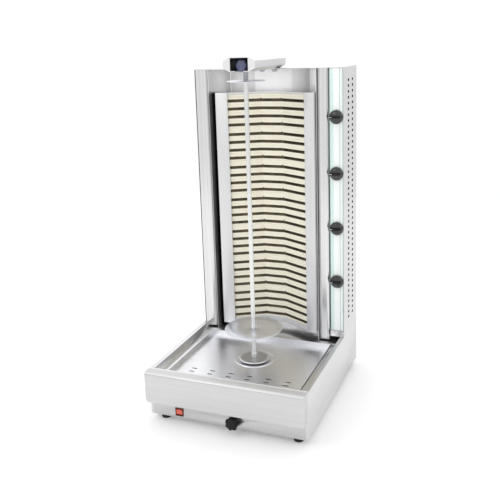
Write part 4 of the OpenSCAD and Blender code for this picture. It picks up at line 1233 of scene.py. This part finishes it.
class GRILL_OT_coils(bpy.types.Operator):
    """Winds the heating wire that lies in the grooves, with its end loops"""

    bl_idname = "grill.coils"
    bl_label = "Heating coils"

    def execute(self, context):
        props = context.scene.grill_heater
        foot, pitch, count = tile_rows(props)
        first, drop = groove_places(props)
        levels = [
            (foot + tile * pitch + first - drop * groove, groove)
            for tile in range(count) for groove in range(GROOVES)
        ]
        for name, start, end in facet_lines():
            one = self.coil(props, (end - start).length)
            rows = bmesh.new()
            for z, _ in levels:
                copy = one.copy()
                copy.transform(on_facet(start, end, z))
                join(rows, copy)
            one.free()
            # The right column's wire gets the darker copy as painted shade.
            shade = "wire_painted_shade" if name == "right" else "wire"
            finished("coils_" + name, rows, "root", "coil_wire", shade, sharp=80.0)
        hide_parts("heating_coils")
        self.add_loops(levels)
        return {"FINISHED"}

    def coil(self, props, span):
        """One helix along X, spun from a small triangle of wire."""
        bm = bmesh.new()
        inset, steps = 2 * MM, 8
        middle = props.coil_radius - props.wire_radius
        depth = props.groove_depth - props.coil_radius - 0.3 * MM
        turns = int((span - 2 * inset) / props.coil_pitch)
        wire = bmesh.ops.create_circle(bm, cap_ends=False, radius=props.wire_radius, segments=3)["verts"]
        bmesh.ops.rotate(bm, verts=wire, cent=(0, 0, 0), matrix=Matrix.Rotation(math.pi / 2, 3, "Y"))
        bmesh.ops.translate(bm, verts=wire, vec=(inset, depth - middle, 0))
        edges = list({edge for vert in wire for edge in vert.link_edges})
        bmesh.ops.spin(
            bm, geom=wire + edges, cent=(0, depth, 0), axis=X_AXIS, angle=2 * math.pi * turns,
            steps=turns * steps, dvec=(props.coil_pitch / steps, 0, 0),
        )
        close_up(bm)
        return bm

    def add_loops(self, levels):
        """Small lead loops over the joints of the columns, at each tile's first and last groove."""
        bm = bmesh.new()
        radius, wire, rise = 3.2 * MM, 1.1 * MM, 3.5 * MM
        joints = facet_lines()[1][1:]
        for z, groove in levels:
            if groove not in (0, GROOVES - 1):
                continue
            for joint in joints:
                loop = bmesh.new()
                ring = bmesh.ops.create_circle(loop, cap_ends=True, radius=wire, segments=8)["verts"]
                bmesh.ops.translate(loop, verts=ring, vec=(radius, 0, 0))
                bmesh.ops.spin(
                    loop, geom=loop.verts[:] + loop.edges[:] + loop.faces[:], cent=(0, 0, 0), axis=Y_AXIS,
                    angle=-math.pi, steps=10, dvec=(0, 0, 0),
                )
                close_up(loop)
                bmesh.ops.translate(loop, verts=loop.verts, vec=(joint.x, joint.y + 0.2 * MM, z + rise))
                join(bm, loop)
        finished("coil_lead_loops", bm, "root", "coil_wire", "wire", sharp=60.0)


class GRILL_OT_controls(bpy.types.Operator):
    """Makes the glass strip, its sill and the four heater knobs"""

    bl_idname = "grill.controls"
    bl_label = "Controls"

    def execute(self, context):
        props = context.scene.grill_controls
        ease = context.scene.grill_steel.edge_ease
        folded("glass_fascia", "glass", 0.0, 0.6 * MM)
        folded("glass_sill", "column", 1.2 * MM, ease)
        refinish("liner", "fascia_backing")
        refinish("ivory", "energy_regulators", "terminal_block")
        for number in range(1, 5):
            self.add_knob(props, "heater_knob_%d" % number)
        return {"FINISHED"}

    def add_knob(self, props, node):
        """A skirt on a stem, a grip bar across it and a mark on the bar's end."""
        radius = props.knob_diameter / 2
        centre = middle_of(node, y=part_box(node)[0].y)
        tall, stem, stem_tall = 20 * MM, 3 * MM, 19.9 * MM
        skirt = [
            (0.0, tall + stem_tall), (stem, tall + stem_tall), (stem, tall), (radius - 2 * MM, tall),
            (radius, tall - 1.2 * MM), (radius, tall - 3 * MM), (radius - 1.5 * MM, tall - 5 * MM),
            (radius - 4 * MM, tall - 6.4 * MM), (radius - 5 * MM, tall - 8.5 * MM),
            (radius - 6.2 * MM, tall - 9.5 * MM), (0.0, tall - 10 * MM),
        ]
        bm = lathe(skirt, centre, Y_AXIS, 64)
        half = props.bar_width / 2
        bar = block((-radius + 1.2 * MM, 0, -half), (radius - 6 * MM, tall - 8 * MM, half))
        top = [vert for vert in bar.verts if vert.co.y < 1 * MM]
        bmesh.ops.scale(bar, verts=top, vec=(0.90, 1, 0.72))
        bevel(bar, bar.edges[:], 1.6 * MM, 3)
        bmesh.ops.translate(bar, verts=bar.verts, vec=centre)
        for face in bar.faces:
            face.material_index = 1
        join(bm, bar)
        in_place_of(node, bm, "plastic", sharp=45.0, more=("dull_plastic",))
        mark_half = 0.7 * MM
        mark = block(
            (-radius + 2.6 * MM, -0.05 * MM, -mark_half), (-radius + 12 * MM, 0.5 * MM, mark_half), 0.2 * MM
        )
        bmesh.ops.translate(mark, verts=mark.verts, vec=centre)
        finished(node + "_mark", mark, node_body[node], node_slot[node], "white_mark")


class GRILL_OT_switch(bpy.types.Operator):
    """Finishes the rocker switch and makes the cable gland with its two nuts"""

    bl_idname = "grill.switch"
    bl_label = "Switch and gland"

    def execute(self, context):
        folded("rocker_frame", "switch_frame", 0.0, 0.5 * MM)
        refinish("lens", "rocker_paddle")
        self.add_gland()
        return {"FINISHED"}

    def add_gland(self):
        """A threaded tube with a domed cap, and a nut on each side of the rear wall."""
        low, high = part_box("cable_gland")
        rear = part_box("base_rear")[1].y
        centre = middle_of("cable_gland", y=0.0)
        bore, thread, dome, nut_tall = 5 * MM, 8 * MM, 11 * MM, 5 * MM
        outline = [
            (bore, low.y), (thread, low.y), (thread, rear + nut_tall), (dome, rear + nut_tall),
            (dome, rear + 2 * nut_tall), (dome - 1.5 * MM, high.y - 2 * MM), (dome - 3 * MM, high.y),
            (bore, high.y), (bore, low.y),
        ]
        bm = lathe(outline, centre, Y_AXIS, 48)
        for near, far in ((rear, rear + nut_tall), (low.y, low.y + nut_tall)):
            nut = bmesh.new()
            bmesh.ops.create_circle(nut, cap_ends=True, radius=15 * MM, segments=6)
            grown = bmesh.ops.extrude_face_region(nut, geom=nut.faces[:])["geom"]
            moved = [item for item in grown if isinstance(item, bmesh.types.BMVert)]
            bmesh.ops.translate(nut, verts=moved, vec=(0, 0, far - near))
            bmesh.ops.recalc_face_normals(nut, faces=nut.faces)
            bevel(nut, nut.edges[:], 0.6 * MM, 2)
            quarter = Matrix.Rotation(-math.pi / 2, 3, "X")
            bmesh.ops.rotate(nut, verts=nut.verts, cent=(0, 0, 0), matrix=quarter)
            bmesh.ops.translate(nut, verts=nut.verts, vec=Vector((centre.x, near, centre.z)))
            join(bm, nut)
        in_place_of("cable_gland", bm, "dull_plastic")


class GRILL_PT_panel(bpy.types.Panel):
    """Lists the steps of the grill's looks"""

    bl_idname = "GRILL_PT_panel"
    bl_label = "Rotisserie grill"
    bl_space_type = "VIEW_3D"
    bl_region_type = "UI"
    bl_category = "Grill"

    def draw(self, context):
        for group in ("grill_steel", "grill_heater", "grill_controls", "grill_stage"):
            box = self.layout.box()
            props = getattr(context.scene, group)
            for name in props.bl_rna.properties.keys():
                if name not in ("rna_type", "name"):
                    box.prop(props, name)
        for operator in operators:
            self.layout.operator(operator.bl_idname)


groups = {
    "grill_steel": GrillSteel,
    "grill_heater": GrillHeater,
    "grill_controls": GrillControls,
    "grill_stage": GrillStage,
}
operators = (
    GRILL_OT_stage,
    GRILL_OT_base,
    GRILL_OT_drawer,
    GRILL_OT_feet,
    GRILL_OT_drive,
    GRILL_OT_spit,
    GRILL_OT_top_arm,
    GRILL_OT_tower,
    GRILL_OT_heater_frame,
    GRILL_OT_tiles,
    GRILL_OT_coils,
    GRILL_OT_controls,
    GRILL_OT_switch,
)


def register():
    for name, group in groups.items():
        bpy.utils.register_class(group)
        setattr(bpy.types.Scene, name, bpy.props.PointerProperty(type=group))
    for operator in operators:
        bpy.utils.register_class(operator)
    bpy.utils.register_class(GRILL_PT_panel)


def unregister():
    bpy.utils.unregister_class(GRILL_PT_panel)
    for operator in reversed(operators):
        bpy.utils.unregister_class(operator)
    for name, group in groups.items():
        delattr(bpy.types.Scene, name)
        bpy.utils.unregister_class(group)


def main():
    """Registers the add-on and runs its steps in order."""
    register()
    make_finishes(bpy.context)
    for operator in operators:
        step = operator.bl_idname.split(".")[1]
        if getattr(bpy.ops.grill, step)() != {"FINISHED"}:
            raise RuntimeError(step + " did not finish")


if __name__ == "__main__":
    main()
